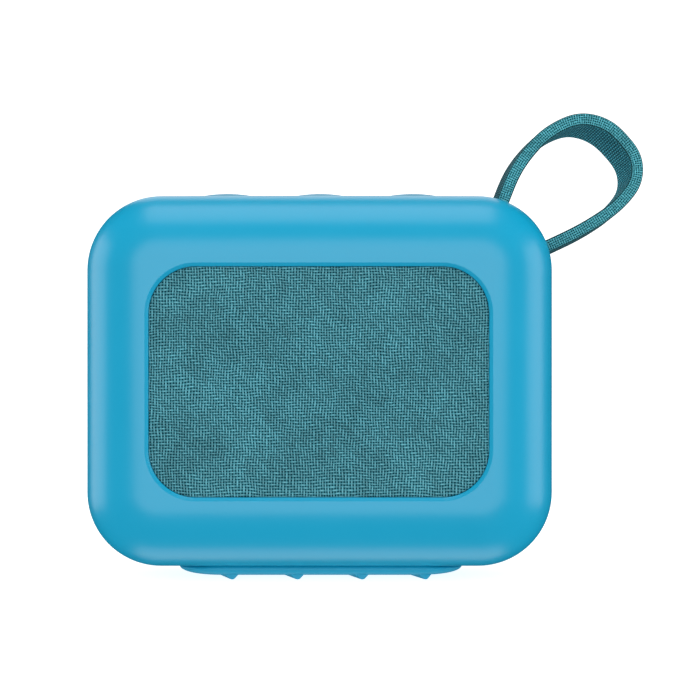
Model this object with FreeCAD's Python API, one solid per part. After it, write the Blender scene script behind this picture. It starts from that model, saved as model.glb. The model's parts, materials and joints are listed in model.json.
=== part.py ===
"""Compact portable bluetooth speaker with a cloth grille and a woven carry loop, in millimetres.

+X is the speaker's right seen from the front, +Y runs to the back, +Z is up. Everything is modelled
about the casing's centre, and lifted on export so that the ribs under the foot stand on z = 0.
"""

import FreeCAD, Part
import math
import os

Vector = FreeCAD.Vector

# Casing
casing_width, casing_height, casing_depth = 94.3, 75.0, 42.0
corner_radius = 15.0
front_round, back_round = 12.5, 9.0
wall = 2.0
front_y, back_y = -casing_depth / 2, casing_depth / 2
front_inside_y, back_inside_y = front_y + wall, back_y - wall
top_z, bottom_z = casing_height / 2, -casing_height / 2
side_x = casing_width / 2
split_y = 12.0
tongue_depth, tongue_wall, seal_depth, fit_gap = 2.4, 0.9, 0.6, 0.05
touch, beyond = 1e-6, 1.0  # how near counts as touching, and how far a cut runs past a face

# Grille: opening in the front shell and the layers behind it
opening_width, opening_height, opening_radius, opening_rim = 67.0, 45.2, 9.1, 0.8
cloth_gap, cloth_recess, cloth_thickness = 0.15, 0.7, 0.5
mesh_thickness, mesh_hole_radius, mesh_pitch = 0.6, 1.3, 4.0
frame_window_width, frame_window_height, frame_window_radius = 62.0, 40.0, 6.0
frame_flange_width, frame_flange_height, frame_flange_radius = 69.0, 52.0, 12.0
frame_back_y = -17.5
baffle_width, baffle_height, baffle_radius, baffle_thickness = 78.0, 51.5, 10.0, 2.0
baffle_back_y = frame_back_y + baffle_thickness
baffle_boss_x, baffle_boss_z, baffle_boss_radius = 36.8, 12.0, 2.0

# Driver, turned about an axis along Y
driver_x = -11.0
gasket_thickness = 0.5
flange_front_y = baffle_back_y + gasket_thickness
flange_thickness, flange_radius = 1.0, 21.0
surround_outer, surround_inner, surround_rise, surround_thickness = 18.5, 14.5, 1.6, 0.4
cone_rim, cone_depth, cone_thickness = surround_inner + surround_thickness, 4.8, 0.4
dust_cap_radius, dust_cap_rise = 7.4, 2.2
pole_radius, coil_inner, former_outer, coil_outer, gap_outer = 6.2, 6.4, 6.62, 6.85, 7.05
coil_front_y, winding_front_y, coil_back_y = -10.2, -6.0, -1.2
spider_y, spider_outer, spider_thickness, spider_waves = -8.6, 15.0, 0.4, 4
top_plate_y, magnet_front_y, magnet_back_y, yoke_back_y = -5.0, -3.0, 3.0, 5.5
top_plate_radius, magnet_radius, magnet_bore = 13.0, 14.0, 8.5
basket_wall, basket_lip_radius, basket_waist_y, basket_floor_y = 1.0, 17.3, -7.6, -6.2
basket_window_radius, basket_windows = 2.6, 8
driver_screw_circle, driver_screws = 20.1, 4

# Passive radiator, a racetrack beside the driver
radiator_x = 21.4
radiator_width, radiator_height = 19.6, 40.0
radiator_roll_outer, radiator_roll_inner, radiator_ledge = 16.4, 11.4, 0.6
radiator_frame_thickness, radiator_plate_thickness = 1.4, 0.8
radiator_weight_width, radiator_weight_height, radiator_weight_thickness = 6.0, 18.0, 2.0

# Screws
casing_screw_x, casing_screw_z = 29.0, 29.5
boss_radius, screw_hole_radius, screw_radius = 3.0, 1.05, 1.0
screw_seat_y, screw_tip_y, screw_hole_end_y = 16.5, 4.0, 3.0
screw_head_radius, screw_head_height, counterbore_radius, pillar_radius = 2.2, 1.7, 2.5, 3.5
small_screw_radius, small_head_radius, small_head_height = 0.8, 1.5, 1.0
cross_width, cross_depth = 0.6, 0.8

# Top buttons
button_pitch, button_y, button_radius, button_edge, button_dome = 19.1, 0.0, 6.75, 0.3, 1.07
button_gap, flange_step, button_flange, flange_gap = 0.1, 1.0, 0.8, 0.1
stem_radius = 2.0
board_thickness = 1.2
button_board_z, button_board_half_x, button_board_half_y = 26.5, 26.0, 5.0
switch_size, switch_height, plunger_radius, plunger_hole = 4.5, 2.5, 1.2, 1.3
plunger_rise, plunger_depth, plunger_room = 0.7, 0.8, 1.7
microphone_radius, microphone_height = 1.5, 1.2

# Back: board, charging port, power button, status light
board_left, board_right, board_bottom, board_top = 14.5, 38.0, -25.0, 20.0
board_front_y, board_back_y = 11.5, 12.7
port_x, port_z = 26.0, -12.0
port_width, port_height, port_wall, port_end_y = 8.94, 3.2, 0.3, 19.3
tongue_width, tongue_height, tongue_start, tongue_end_y = 6.7, 0.7, 1.0, 18.6
cover_width, cover_height, cover_thickness, cover_corner = 19.6, 9.0, 1.3, 2.0
cover_outer_y, cover_gap, cover_floor_y = 20.9, 0.2, 19.5
cover_nub_width, cover_nub_height, cover_nub_depth = 7.6, 1.6, 0.7
anchor_half_width, anchor_height, anchor_inner_y = 5.0, 1.6, 18.2
notch_radius = 3.2
backing_margin, backing_y = 2.2, 17.6
power_x, power_z, power_radius, power_proud = 26.0, 6.0, 3.5, 0.4
power_flange_radius, power_flange = 4.4, 0.9
power_stem_radius, power_plunger_room, power_switch_height = 1.25, 1.5, 1.8
light_x, light_z, light_radius, led_size, led_height = 26.0, 15.0, 0.8, 1.6, 0.8
light_gap = 0.2
board_posts = [(18.0, 16.0), (34.5, -21.0)]
board_post_radius = 2.2
chip_height, chip_x = 1.2, 23.0
bluetooth_chip_z, bluetooth_chip_size, amplifier_chip_z, amplifier_chip_size = 0.0, 5.0, -17.5, 4.0
component_z, component_pitch, component_count = -15.0, 3.4, 4
capacitor_x, capacitor_size, resistor_x, resistor_size = 35.0, 2.4, 31.0, 1.2
coil_places, inductor_radius, inductor_height = [(34.5, 16.0), (29.0, 16.0)], 2.0, 2.2

# Battery
battery_x, battery_z = -12.4, 0.0
battery_width, battery_height, battery_corner = 48.0, 32.0, 1.5
battery_front_y, battery_back_y = 9.5, 18.5
tray_wall, tray_front_y = 1.2, 14.0
foam_thickness, foam_width, foam_height = 1.0, 40.0, 22.0
antenna_thickness, antenna_height, antenna_front_y, antenna_back_y, antenna_z = 0.4, 15.0, -4.0, 7.6, 1.6

# Foot
foot_width, foot_front_y, foot_back_y, foot_corner, foot_edge = 57.5, -10.0, 12.0, 8.0, 0.8
foot_drop, rib_drop = 1.75, 1.0
rib_front_x, rib_lean = (-17.6, -4.3, 8.83, 21.7), 0.38
rib_tip_width, rib_root_width = 1.2, 3.2
foot_peg_x, foot_peg_radius, foot_peg_length = 20.0, 1.5, 1.6
foot_peg_y = 1.0

# Carry loop: the corners of its centreline in the plane of the front, from the slot in the casing's
# top, over, and back to the slot in its right side
slot_top, slot_side = (37.46, 36.61), (46.53, 27.59)
loop_corners = [(40.2, 43.7), (46.1, 50.6), (53.0, 53.9), (59.2, 52.3), (64.8, 45.9), (64.8, 40.4),
                (60.4, 35.3), (53.6, 30.9)]
strap_width, strap_thickness = 13.0, 2.6
arc_share = 0.45
slot_gap = 0.35
post_gap, post_radius, post_back_y, post_shoulder = 0.1, 2.8, 8.0, 2.2
swing_radius, swing_gap = 9.0, 0.3
retainer_radius, retainer_thickness, cavity_gap = 5.2, 1.2, 0.2

# Leads
lead_radius, lead_pitch = 0.6, 2.4
battery_lead_route = [(11.6, 11.0, 7.0), (13.3, 11.0, 7.0), (15.0, 9.8, 8.0), (17.0, 9.8, 8.0)]
speaker_lead_route = [(4.6, -9.4, -8.0), (9.0, -8.2, -8.0), (12.4, 1.0, -8.6), (13.6, 7.8, -9.0),
                      (15.2, 9.8, -9.0), (17.0, 9.8, -9.0)]
connector_left, connector_right, connector_front_y, connector_height = 17.0, 21.0, 8.4, 6.0

LIFT = Vector(0, 0, casing_height / 2 + foot_drop + rib_drop)
ALONG_Y = Vector(0, 1, 0)
ALONG_Z = Vector(0, 0, 1)


# ---------------------------------------------------------------- shapes that repeat

def block(x0, x1, y0, y1, z0, z1):
    return Part.makeBox(x1 - x0, y1 - y0, z1 - z0, Vector(x0, y0, z0))


def centred_block(x, z, width, height, y0, y1):
    return block(x - width / 2, x + width / 2, y0, y1, z - height / 2, z + height / 2)


def rod_y(radius, y0, y1, x=0.0, z=0.0):
    return Part.makeCylinder(radius, y1 - y0, Vector(x, y0, z), ALONG_Y)


def rod_z(radius, z0, z1, x=0.0, y=0.0):
    return Part.makeCylinder(radius, z1 - z0, Vector(x, y, z0), ALONG_Z)


def ring_y(outer, inner, y0, y1, x=0.0, z=0.0):
    return rod_y(outer, y0, y1, x, z).cut(rod_y(inner, y0, y1, x, z))


def plate(width, height, radius, y0, y1, x=0.0, z=0.0):
    """A slab with a rounded rectangular outline, from y0 to y1."""
    body = centred_block(x, z, width, height, y0, y1)
    along = [e for e in body.Edges if abs(e.tangentAt(e.FirstParameter).y) > 1 - touch]
    return body.makeFillet(radius, along)


def racetrack(width, height, y0, y1, x=0.0, z=0.0):
    """A slab whose shorter ends are full half circles."""
    radius = min(width, height) / 2
    reach_x, reach_z = width / 2 - radius, height / 2 - radius
    ends = [rod_y(radius, y0, y1, x + s * reach_x, z + s * reach_z) for s in (-1, 1)]
    middle = centred_block(x, z, 2 * (reach_x or radius), 2 * (reach_z or radius), y0, y1)
    return middle.fuse(ends).removeSplitter()


def edges_at(shape, y, half_width=casing_width, half_height=casing_height):
    """The edges in the plane at y that stay within a rectangle about the centre."""
    found = []
    for edge in shape.Edges:
        box = edge.BoundBox
        flat = max(abs(box.YMin - y), abs(box.YMax - y)) < touch
        within_x = max(-box.XMin, box.XMax) < half_width + touch
        within_z = max(-box.ZMin, box.ZMax) < half_height + touch
        if flat and within_x and within_z:
            found.append(edge)
    return found


def turned(profile, x=0.0, z=0.0):
    """A closed profile of (radius, y) points, turned about an axis along Y."""
    points = [Vector(radius, y, 0) for radius, y in profile]
    face = Part.Face(Part.makePolygon(points + points[:1]))
    body = face.revolve(Vector(0, 0, 0), ALONG_Y, 360)
    body.translate(Vector(x, 0, z))
    return body


def casing_form(inset, y0, y1, front, back):
    """The casing's rounded box, drawn in by inset, with its front and back outlines rounded over."""
    body = plate(casing_width - 2 * inset, casing_height - 2 * inset, corner_radius - inset, y0, y1)
    for y, radius in ((y0, front), (y1, back)):
        body = body.makeFillet(radius, edges_at(body, y))
    return body


def outer_form():
    return casing_form(0.0, front_y, back_y, front_round, back_round)


def cavity_form(gap=0.0):
    """The space inside the walls, drawn in by gap."""
    inset = wall + gap
    return casing_form(inset, front_y + inset, back_y - inset, front_round - inset, back_round - inset)


def wall_band(outer_inset, inner_inset, y0, y1):
    """A band that follows the casing's outline between two insets."""
    def form(inset):
        return plate(casing_width - 2 * inset, casing_height - 2 * inset, corner_radius - inset, y0, y1)
    return form(outer_inset).cut(form(inner_inset))


def at_corners(x, z):
    return [(sx * x, sz * z) for sx in (-1, 1) for sz in (-1, 1)]


def screw(x, z, tip_y, seat_y, head_y, radius, head_radius):
    """A screw along Y with a cross in its head; tip_y is its far end and head_y its head's top."""
    low, high = sorted((tip_y, seat_y))
    head_low, head_high = sorted((seat_y, head_y))
    body = rod_y(radius, low, high, x, z).fuse(rod_y(head_radius, head_low, head_high, x, z))
    inward = 1 if head_y < seat_y else -1
    cut_low, cut_high = sorted((head_y, head_y + inward * cross_depth))
    slots = [(head_radius, cross_width), (cross_width, head_radius)]
    return body.cut([centred_block(x, z, width, height, cut_low, cut_high) for width, height in slots])


def half_roll(inner, outer, y, rise, thickness):
    """The section of a surround: two landings joined by an arch that bulges to the front, as a face."""
    def arch(near, far, lift):
        middle = (near + far) / 2
        return Part.Arc(Vector(near, y, 0), Vector(middle, y - lift, 0), Vector(far, y, 0)).toShape()
    under = arch(inner + thickness, outer - thickness, rise - thickness)
    over = arch(inner, outer, rise)
    left = Part.makeLine(Vector(inner, y, 0), Vector(inner + thickness, y, 0))
    right = Part.makeLine(Vector(outer - thickness, y, 0), Vector(outer, y, 0))
    return Part.Face(Part.Wire(Part.__sortEdges__([over, right, under, left])))


def path_with_arcs(points):
    """Straight runs joined by tangent arcs, each as large as its two runs allow."""
    corners = [Vector(*p) for p in points]
    edges, start = [], corners[0]
    for before, corner, after in zip(corners, corners[1:], corners[2:]):
        into, out = (corner - before).normalize(), (after - corner).normalize()
        reach = arc_share * min(before.distanceToPoint(corner), corner.distanceToPoint(after))
        turn = into.getAngle(out)
        radius = reach / math.tan(turn / 2)
        first, last = corner - into * reach, corner + out * reach
        inward = (out - into).normalize()
        middle = corner + inward * (radius / math.cos(turn / 2) - radius)
        edges += [Part.makeLine(start, first), Part.Arc(first, middle, last).toShape()]
        start = last
    return Part.Wire(edges + [Part.makeLine(start, corners[-1])])


def tube(points, radius):
    """A round lead along a route."""
    path = path_with_arcs(points)
    direction = (Vector(*points[1]) - Vector(*points[0])).normalize()
    section = Part.Wire(Part.makeCircle(radius, Vector(*points[0]), direction))
    return path.makePipeShell([section], True, False)


# ---------------------------------------------------------------- carry loop

def line_meeting(a, b, c, d):
    """Where the line through a and b meets the line through c and d, all (x, z)."""
    ax, az, cx, cz = b[0] - a[0], b[1] - a[1], d[0] - c[0], d[1] - c[1]
    share = ((c[0] - a[0]) * cz - (c[1] - a[1]) * cx) / (ax * cz - az * cx)
    return (a[0] + share * ax, a[1] + share * az)


def loop_outline():
    """The closed centreline's corners and the radius at each: the first turns about the post inside."""
    inner = line_meeting(loop_corners[0], slot_top, loop_corners[-1], slot_side)
    corners = [inner] + loop_corners
    radii = [post_radius + post_gap + strap_thickness / 2]
    for before, corner, after in zip(corners, corners[1:], corners[2:] + corners[:1]):
        run = min(math.dist(before, corner), math.dist(corner, after))
        radii.append(arc_share * run / math.tan(turn_at(before, corner, after) / 2))
    return corners, radii


def turn_at(before, corner, after):
    first = math.atan2(corner[1] - before[1], corner[0] - before[0])
    second = math.atan2(after[1] - corner[1], after[0] - corner[0])
    return abs((first - second + math.pi) % (2 * math.pi) - math.pi)


def loop_form(offset, half_width):
    """The loop's outline grown by offset, with rounded corners, as a solid half_width each side."""
    corners, radii = loop_outline()
    count = len(corners)
    moved = []
    for i in range(count):
        before, corner = corners[i - 1], corners[i]
        length = math.dist(before, corner)
        shift = (-(corner[1] - before[1]) / length * offset, (corner[0] - before[0]) / length * offset)
        moved.append([(p[0] + shift[0], p[1] + shift[1]) for p in (before, corner)])
    grown = [line_meeting(*moved[i], *moved[(i + 1) % count]) for i in range(count)]
    starts, middles, ends = [], [], []
    for i in range(count):
        before, corner, after = (Vector(p[0], -half_width, p[1]) for p in
                                 (grown[i - 1], grown[i], grown[(i + 1) % count]))
        into, out = (corner - before).normalize(), (after - corner).normalize()
        turn, radius = into.getAngle(out), radii[i] + offset
        reach = radius * math.tan(turn / 2)
        starts.append(corner - into * reach)
        ends.append(corner + out * reach)
        middles.append(corner + (out - into).normalize() * (radius / math.cos(turn / 2) - radius))
    edges = []
    for i in range(count):
        edges.append(Part.Arc(starts[i], middles[i], ends[i]).toShape())
        edges.append(Part.makeLine(ends[i], starts[(i + 1) % count]))
    return Part.Face(Part.Wire(edges)).extrude(Vector(0, 2 * half_width, 0))


def loop_band(extra=0.0):
    """The whole closed strap, or the room that it needs with extra all round."""
    half = strap_thickness / 2 + extra
    return loop_form(half, strap_width / 2 + extra).cut(loop_form(-half, strap_width / 2 + extra))


def swing_zone(radius):
    """All that lies nearer the hinge line than radius, or on its inner side. It turns into itself."""
    start, end = Vector(slot_top[0], 0, slot_top[1]), Vector(slot_side[0], 0, slot_side[1])
    along = (end - start).normalize()
    reach = Vector(along.x * casing_width, 0, along.z * casing_width)
    round_part = Part.makeCylinder(radius, 2 * casing_width, start - reach, along)
    outward = Vector(-along.z, 0, along.x)
    corner = start - reach - ALONG_Y * casing_width
    points = [corner, corner + along * 2 * casing_width]
    points += [points[1] - outward * casing_width, corner - outward * casing_width]
    inner_part = Part.Face(Part.makePolygon(points + points[:1])).extrude(ALONG_Y * 2 * casing_width)
    return round_part, inner_part


def strap_loop():
    """The part of the strap outside the casing, which swings."""
    round_part, inner_part = swing_zone(swing_radius + swing_gap)
    return loop_band().cut(round_part).cut(inner_part)


def strap_root():
    """The part held in the casing: round the post and out through both slots."""
    round_part, inner_part = swing_zone(swing_radius)
    band = loop_band()
    return band.common(round_part.fuse(inner_part)).removeSplitter()


def post_centre():
    """The centre of the first, inner corner's arc."""
    corners, radii = loop_outline()
    inner, out, back = (Vector(p[0], 0, p[1]) for p in (corners[0], corners[1], corners[-1]))
    halfway = ((out - inner).normalize() + (back - inner).normalize()).normalize()
    half_angle = (out - inner).getAngle(back - inner) / 2
    centre = inner + halfway * (radii[0] / math.sin(half_angle))
    return centre.x, centre.z


def strap_post():
    x, z = post_centre()
    root_y = front_inside_y - wall / 2
    post = rod_y(post_radius, root_y, post_back_y, x, z)
    shoulder = rod_y(post_radius + post_shoulder, root_y, -strap_width / 2 - slot_gap, x, z)
    hole = rod_y(small_screw_radius + fit_gap, 0, post_back_y, x, z)
    return post.fuse(shoulder).common(outer_form()).cut(hole)


def strap_retainer():
    x, z = post_centre()
    disc = rod_y(retainer_radius, post_back_y, post_back_y + retainer_thickness, x, z)
    hole = rod_y(small_screw_radius + fit_gap, 0, split_y, x, z)
    return disc.common(cavity_form(cavity_gap)).cut(hole)


def strap_screw():
    x, z = post_centre()
    seat_y = post_back_y + retainer_thickness
    return screw(x, z, wall, seat_y, seat_y + small_head_height, small_screw_radius, small_head_radius)


# ---------------------------------------------------------------- casing

def front_shell():
    """Bezel, sides, top and bottom in one piece, with its bosses."""
    shell = outer_form().cut(cavity_form())
    shell = shell.cut(block(-side_x, side_x, split_y, back_y, bottom_z, top_z))
    relief = wall_band(wall / 2, wall, split_y - tongue_depth - seal_depth, split_y)
    shell = shell.cut(relief)
    shell = shell.cut(plate(opening_width, opening_height, opening_radius, front_y - beyond,
                            front_inside_y + beyond))
    rim = edges_at(shell, front_y, opening_width / 2, opening_height / 2)
    shell = shell.makeFillet(opening_rim, rim)
    shell = shell.cut([rod_z(button_radius + button_gap, top_z - 2 * wall, top_z + wall, x, button_y)
                       for x in button_places()])
    shell = shell.cut(loop_band(slot_gap))
    casing_bosses = [rod_y(boss_radius, front_y, split_y - fit_gap, x, z)
                     for x, z in at_corners(casing_screw_x, casing_screw_z)]
    baffle_bosses = [rod_y(baffle_boss_radius, front_y, frame_back_y, x, z)
                     for x, z in at_corners(baffle_boss_x, baffle_boss_z)]
    bosses = [boss.common(outer_form()) for boss in casing_bosses + baffle_bosses]
    shell = shell.fuse(bosses + [strap_post()])
    holes = [rod_y(screw_hole_radius, screw_hole_end_y, split_y, x, z)
             for x, z in at_corners(casing_screw_x, casing_screw_z)]
    holes += [rod_y(small_screw_radius + fit_gap, front_inside_y - wall / 4, frame_back_y, x, z)
              for x, z in at_corners(baffle_boss_x, baffle_boss_z)]
    holes += [rod_z(foot_peg_radius + fit_gap, bottom_z - wall, bottom_z + wall, x, foot_peg_y)
              for x in (-foot_peg_x, foot_peg_x)]
    return shell.cut(holes).removeSplitter()


def rear_shell():
    """The shallow back pan, with its tongue, pillars, posts, port opening and cover recess."""
    shell = outer_form().cut(cavity_form())
    shell = shell.common(block(-side_x, side_x, split_y, back_y, bottom_z, top_z))
    tongue = wall_band(wall - tongue_wall - fit_gap, wall - fit_gap, split_y - tongue_depth, split_y)
    shell = shell.fuse(tongue)
    pillars = [rod_y(pillar_radius, split_y, back_y, x, z)
               for x, z in at_corners(casing_screw_x, casing_screw_z)]
    pillars += [rod_y(board_post_radius, board_back_y, back_y - wall / 2, x, z) for x, z in board_posts]
    backing = centred_block(port_x, port_z, cover_width + 2 * backing_margin,
                            cover_height + 2 * (backing_margin + anchor_height), backing_y, back_y)
    additions = [piece.common(outer_form()) for piece in pillars + [backing]]
    shell = shell.fuse(additions)
    holes = [rod_y(screw_hole_radius, split_y, back_y, x, z)
             for x, z in at_corners(casing_screw_x, casing_screw_z)]
    holes += [rod_y(counterbore_radius, screw_seat_y, back_y + beyond, x, z)
              for x, z in at_corners(casing_screw_x, casing_screw_z)]
    holes += [rod_y(small_screw_radius + fit_gap, board_back_y, back_inside_y, x, z)
              for x, z in board_posts]
    holes.append(rod_y(power_radius + button_gap, back_inside_y - wall, back_y + beyond,
                       power_x, power_z))
    holes.append(rod_y(light_radius + fit_gap, back_inside_y - wall, back_y + beyond, light_x, light_z))
    holes.append(racetrack(port_width + 2 * cover_gap, port_height + 2 * cover_gap, backing_y - beyond,
                           back_y + beyond, port_x, port_z))
    holes.append(plate(cover_width + 2 * cover_gap, cover_height + 2 * cover_gap, cover_corner,
                       cover_floor_y, back_y + beyond, port_x, port_z))
    holes.append(rod_y(notch_radius, cover_floor_y + cover_thickness / 2, back_y + beyond, port_x,
                       port_z + cover_height / 2))
    holes.append(anchor_form(fit_gap))
    return shell.cut(holes).removeSplitter()


def shell_seal():
    start = split_y - tongue_depth - seal_depth
    return wall_band(wall - tongue_wall - fit_gap, wall - fit_gap, start, start + seal_depth)


def casing_screws():
    return [screw(x, z, screw_tip_y, screw_seat_y, screw_seat_y + screw_head_height, screw_radius,
                  screw_head_radius) for x, z in at_corners(casing_screw_x, casing_screw_z)]


# ---------------------------------------------------------------- grille and baffle

def grille_layer(y0, y1):
    return plate(opening_width - 2 * cloth_gap, opening_height - 2 * cloth_gap,
                 opening_radius - cloth_gap, y0, y1)


def grille_cloth():
    outer_y = front_y + cloth_recess
    return grille_layer(outer_y, outer_y + cloth_thickness)


def grille_mesh():
    """A pressed sheet with rows of round holes, every second row shifted by half a pitch."""
    start = front_y + cloth_recess + cloth_thickness
    end = start + mesh_thickness
    row_pitch = mesh_pitch * math.sqrt(3) / 2
    reach_x = opening_width / 2 - opening_radius / 2
    rows = int((opening_height / 2 - mesh_pitch) / row_pitch)
    holes = []
    for row in range(-rows, rows + 1):
        shift = mesh_pitch / 2 if row % 2 else 0.0
        columns = int((reach_x - shift) / mesh_pitch)
        for column in range(-columns, columns + 1):
            x = column * mesh_pitch + shift
            if abs(x) <= reach_x:
                hole = rod_y(mesh_hole_radius, start - beyond, end + beyond, x, row * row_pitch)
                holes.append(hole)
    return grille_layer(start, end).cut(holes)


def grille_frame():
    """The plastic ring that carries the mesh and cloth, with a flange behind the front wall."""
    start = front_y + cloth_recess + cloth_thickness + mesh_thickness
    flange = plate(frame_flange_width, frame_flange_height, frame_flange_radius,
                   front_inside_y + fit_gap, frame_back_y)
    flange = flange.common(cavity_form(fit_gap))
    window = plate(frame_window_width, frame_window_height, frame_window_radius, start - beyond,
                   frame_back_y + beyond)
    return grille_layer(start, frame_back_y).fuse(flange).cut(window).removeSplitter()


def baffle():
    board = plate(baffle_width, baffle_height, baffle_radius, frame_back_y, baffle_back_y)
    board = board.common(cavity_form(cavity_gap))
    start, end = frame_back_y - beyond, baffle_back_y + beyond
    blind_start = frame_back_y + baffle_thickness / 4
    holes = [rod_y(surround_outer, start, end, driver_x), radiator_track(radiator_roll_outer, start, end)]
    holes += [rod_y(small_screw_radius + fit_gap, start, end, x, z)
              for x, z in at_corners(baffle_boss_x, baffle_boss_z)]
    holes += [rod_y(small_screw_radius + fit_gap, blind_start, end, x, z)
              for x, z in driver_screw_places()]
    return board.cut(holes)


def baffle_screws():
    head_y = baffle_back_y + small_head_height
    return [screw(x, z, front_inside_y, baffle_back_y, head_y, small_screw_radius, small_head_radius)
            for x, z in at_corners(baffle_boss_x, baffle_boss_z)]


# ---------------------------------------------------------------- driver

def driver_screw_places():
    """Round the driver's flange, on its diagonals so that they clear the radiator beside it."""
    angles = [2 * math.pi * (i + 0.5) / driver_screws for i in range(driver_screws)]
    return [(driver_x + driver_screw_circle * math.cos(angle), driver_screw_circle * math.sin(angle))
            for angle in angles]


def screw_clearances(y0, y1):
    return [rod_y(small_screw_radius + fit_gap, y0, y1, x, z) for x, z in driver_screw_places()]


def driver_gasket():
    ring = ring_y(flange_radius, surround_outer, baffle_back_y, flange_front_y, driver_x)
    return ring.cut(screw_clearances(baffle_back_y, flange_front_y))


def driver_basket():
    """Pressed bowl: flange at the front, sloping wall with windows, floor on the top plate."""
    flange_back = flange_front_y + flange_thickness
    ledge_y = spider_y + spider_thickness
    profile = [(flange_radius, flange_front_y), (flange_radius, flange_back),
               (surround_outer, flange_back),
               (spider_outer + basket_wall, basket_waist_y), (spider_outer, top_plate_y),
               (gap_outer, top_plate_y), (gap_outer, basket_floor_y),
               (spider_outer - basket_wall, basket_floor_y), (spider_outer - basket_wall, ledge_y),
               (spider_outer, ledge_y), (basket_lip_radius, flange_front_y)]
    bowl = turned(profile, driver_x)
    middle_y = (flange_back + spider_y) / 2
    for i in range(basket_windows):
        angle = 2 * math.pi * (i + 0.5) / basket_windows
        out = Vector(math.cos(angle), 0, math.sin(angle))
        start = Vector(driver_x, middle_y, 0) + out * gap_outer
        bowl = bowl.cut(Part.makeCylinder(basket_window_radius, flange_radius, start, out))
    return bowl.cut(screw_clearances(flange_front_y, flange_back))


def driver_screw_group():
    tip_y, seat_y = frame_back_y + baffle_thickness / 2, flange_front_y + flange_thickness
    return [screw(x, z, tip_y, seat_y, seat_y + small_head_height, small_screw_radius, small_head_radius)
            for x, z in driver_screw_places()]


def driver_top_plate():
    return ring_y(top_plate_radius, gap_outer, top_plate_y, magnet_front_y, driver_x)


def driver_magnet():
    return ring_y(magnet_radius, magnet_bore, magnet_front_y, magnet_back_y, driver_x)


def driver_yoke():
    disc = rod_y(top_plate_radius, magnet_back_y, yoke_back_y, driver_x)
    return disc.fuse(rod_y(pole_radius, top_plate_y, magnet_back_y, driver_x)).removeSplitter()


def cone():
    neck_y = flange_front_y + cone_depth
    profile = [(cone_rim, flange_front_y), (former_outer, neck_y),
               (former_outer, neck_y + cone_thickness), (cone_rim, flange_front_y + cone_thickness)]
    return turned(profile, driver_x)


def surround():
    section = half_roll(surround_inner, surround_outer - fit_gap, flange_front_y, surround_rise,
                        surround_thickness)
    body = section.revolve(Vector(0, 0, 0), ALONG_Y, 360)
    body.translate(Vector(driver_x, 0, 0))
    return body


def cone_surface_y(radius):
    """The y of the cone's front face at a radius."""
    share = (cone_rim - radius) / (cone_rim - former_outer)
    return flange_front_y + share * cone_depth


def dust_cap():
    """A shallow domed shell glued on the cone near its neck."""
    rim_y = cone_surface_y(dust_cap_radius)
    outer_ball = (dust_cap_radius ** 2 + dust_cap_rise ** 2) / (2 * dust_cap_rise)
    centre = Vector(driver_x, rim_y - dust_cap_rise + outer_ball, 0)
    shell = Part.makeSphere(outer_ball, centre).cut(Part.makeSphere(outer_ball - cone_thickness, centre))
    return shell.common(rod_y(dust_cap_radius, rim_y - 2 * dust_cap_rise, rim_y, driver_x))


def voice_coil():
    """The former with its winding, fixed in the cone's neck."""
    former = ring_y(former_outer, coil_inner, coil_front_y, coil_back_y, driver_x)
    winding = ring_y(coil_outer, former_outer, winding_front_y, coil_back_y, driver_x)
    return former.fuse(winding).removeSplitter()


def spider():
    """The corrugated centring disc from the coil's former to the basket's ledge."""
    pitch = (spider_outer - former_outer) / spider_waves
    front = []
    for i in range(spider_waves):
        radius = former_outer + i * pitch
        front += [(radius, spider_y), (radius + pitch / 2, spider_y - spider_thickness)]
    front.append((spider_outer, spider_y))
    back = [(radius, y + spider_thickness) for radius, y in reversed(front)]
    return turned(front + back, driver_x)


# ---------------------------------------------------------------- passive radiator

def race_sweep(section, straight, x):
    """A section at its distance from the end circles' axes, run round a racetrack centred on x."""
    half = straight / 2
    top = section.copy().revolve(Vector(0, 0, 0), ALONG_Y, -180)
    top.translate(Vector(x, 0, half))
    bottom = section.copy().revolve(Vector(0, 0, 0), ALONG_Y, 180)
    bottom.translate(Vector(x, 0, -half))
    right = section.copy()
    right.translate(Vector(x, 0, -half))
    right = right.extrude(Vector(0, 0, straight))
    left = right.mirror(Vector(x, 0, 0), Vector(1, 0, 0))
    return top.fuse([bottom, right, left]).removeSplitter()


def radiator_straight():
    return radiator_height - radiator_width


def radiator_track(width, y0, y1):
    """A racetrack round the radiator's centre with the same straight sides at any width."""
    return racetrack(width, radiator_straight() + width, y0, y1, radiator_x)


def radiator_frame():
    """A ring glued to the baffle, with a narrow ledge that the surround's edge rests on."""
    back = flange_front_y + radiator_frame_thickness
    ring = radiator_track(radiator_width, baffle_back_y, back)
    front_room = radiator_track(radiator_roll_outer, baffle_back_y, flange_front_y)
    back_room = radiator_track(radiator_roll_outer - 2 * radiator_ledge, flange_front_y, back)
    return ring.cut([front_room, back_room])


def radiator_surround():
    section = half_roll(radiator_roll_inner / 2, radiator_roll_outer / 2 - fit_gap, flange_front_y,
                        surround_rise, surround_thickness)
    return race_sweep(section, radiator_straight(), radiator_x)


def radiator_plate():
    return radiator_track(radiator_roll_inner + 2 * surround_thickness, flange_front_y,
                          flange_front_y + radiator_plate_thickness)


def radiator_weight():
    start = flange_front_y + radiator_plate_thickness
    return plate(radiator_weight_width, radiator_weight_height, radiator_weight_width / 3, start,
                 start + radiator_weight_thickness, radiator_x)


# ---------------------------------------------------------------- top buttons

def button_places():
    return [-button_pitch, 0.0, button_pitch]


def switch_top_z():
    return button_board_z + board_thickness + switch_height


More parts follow.
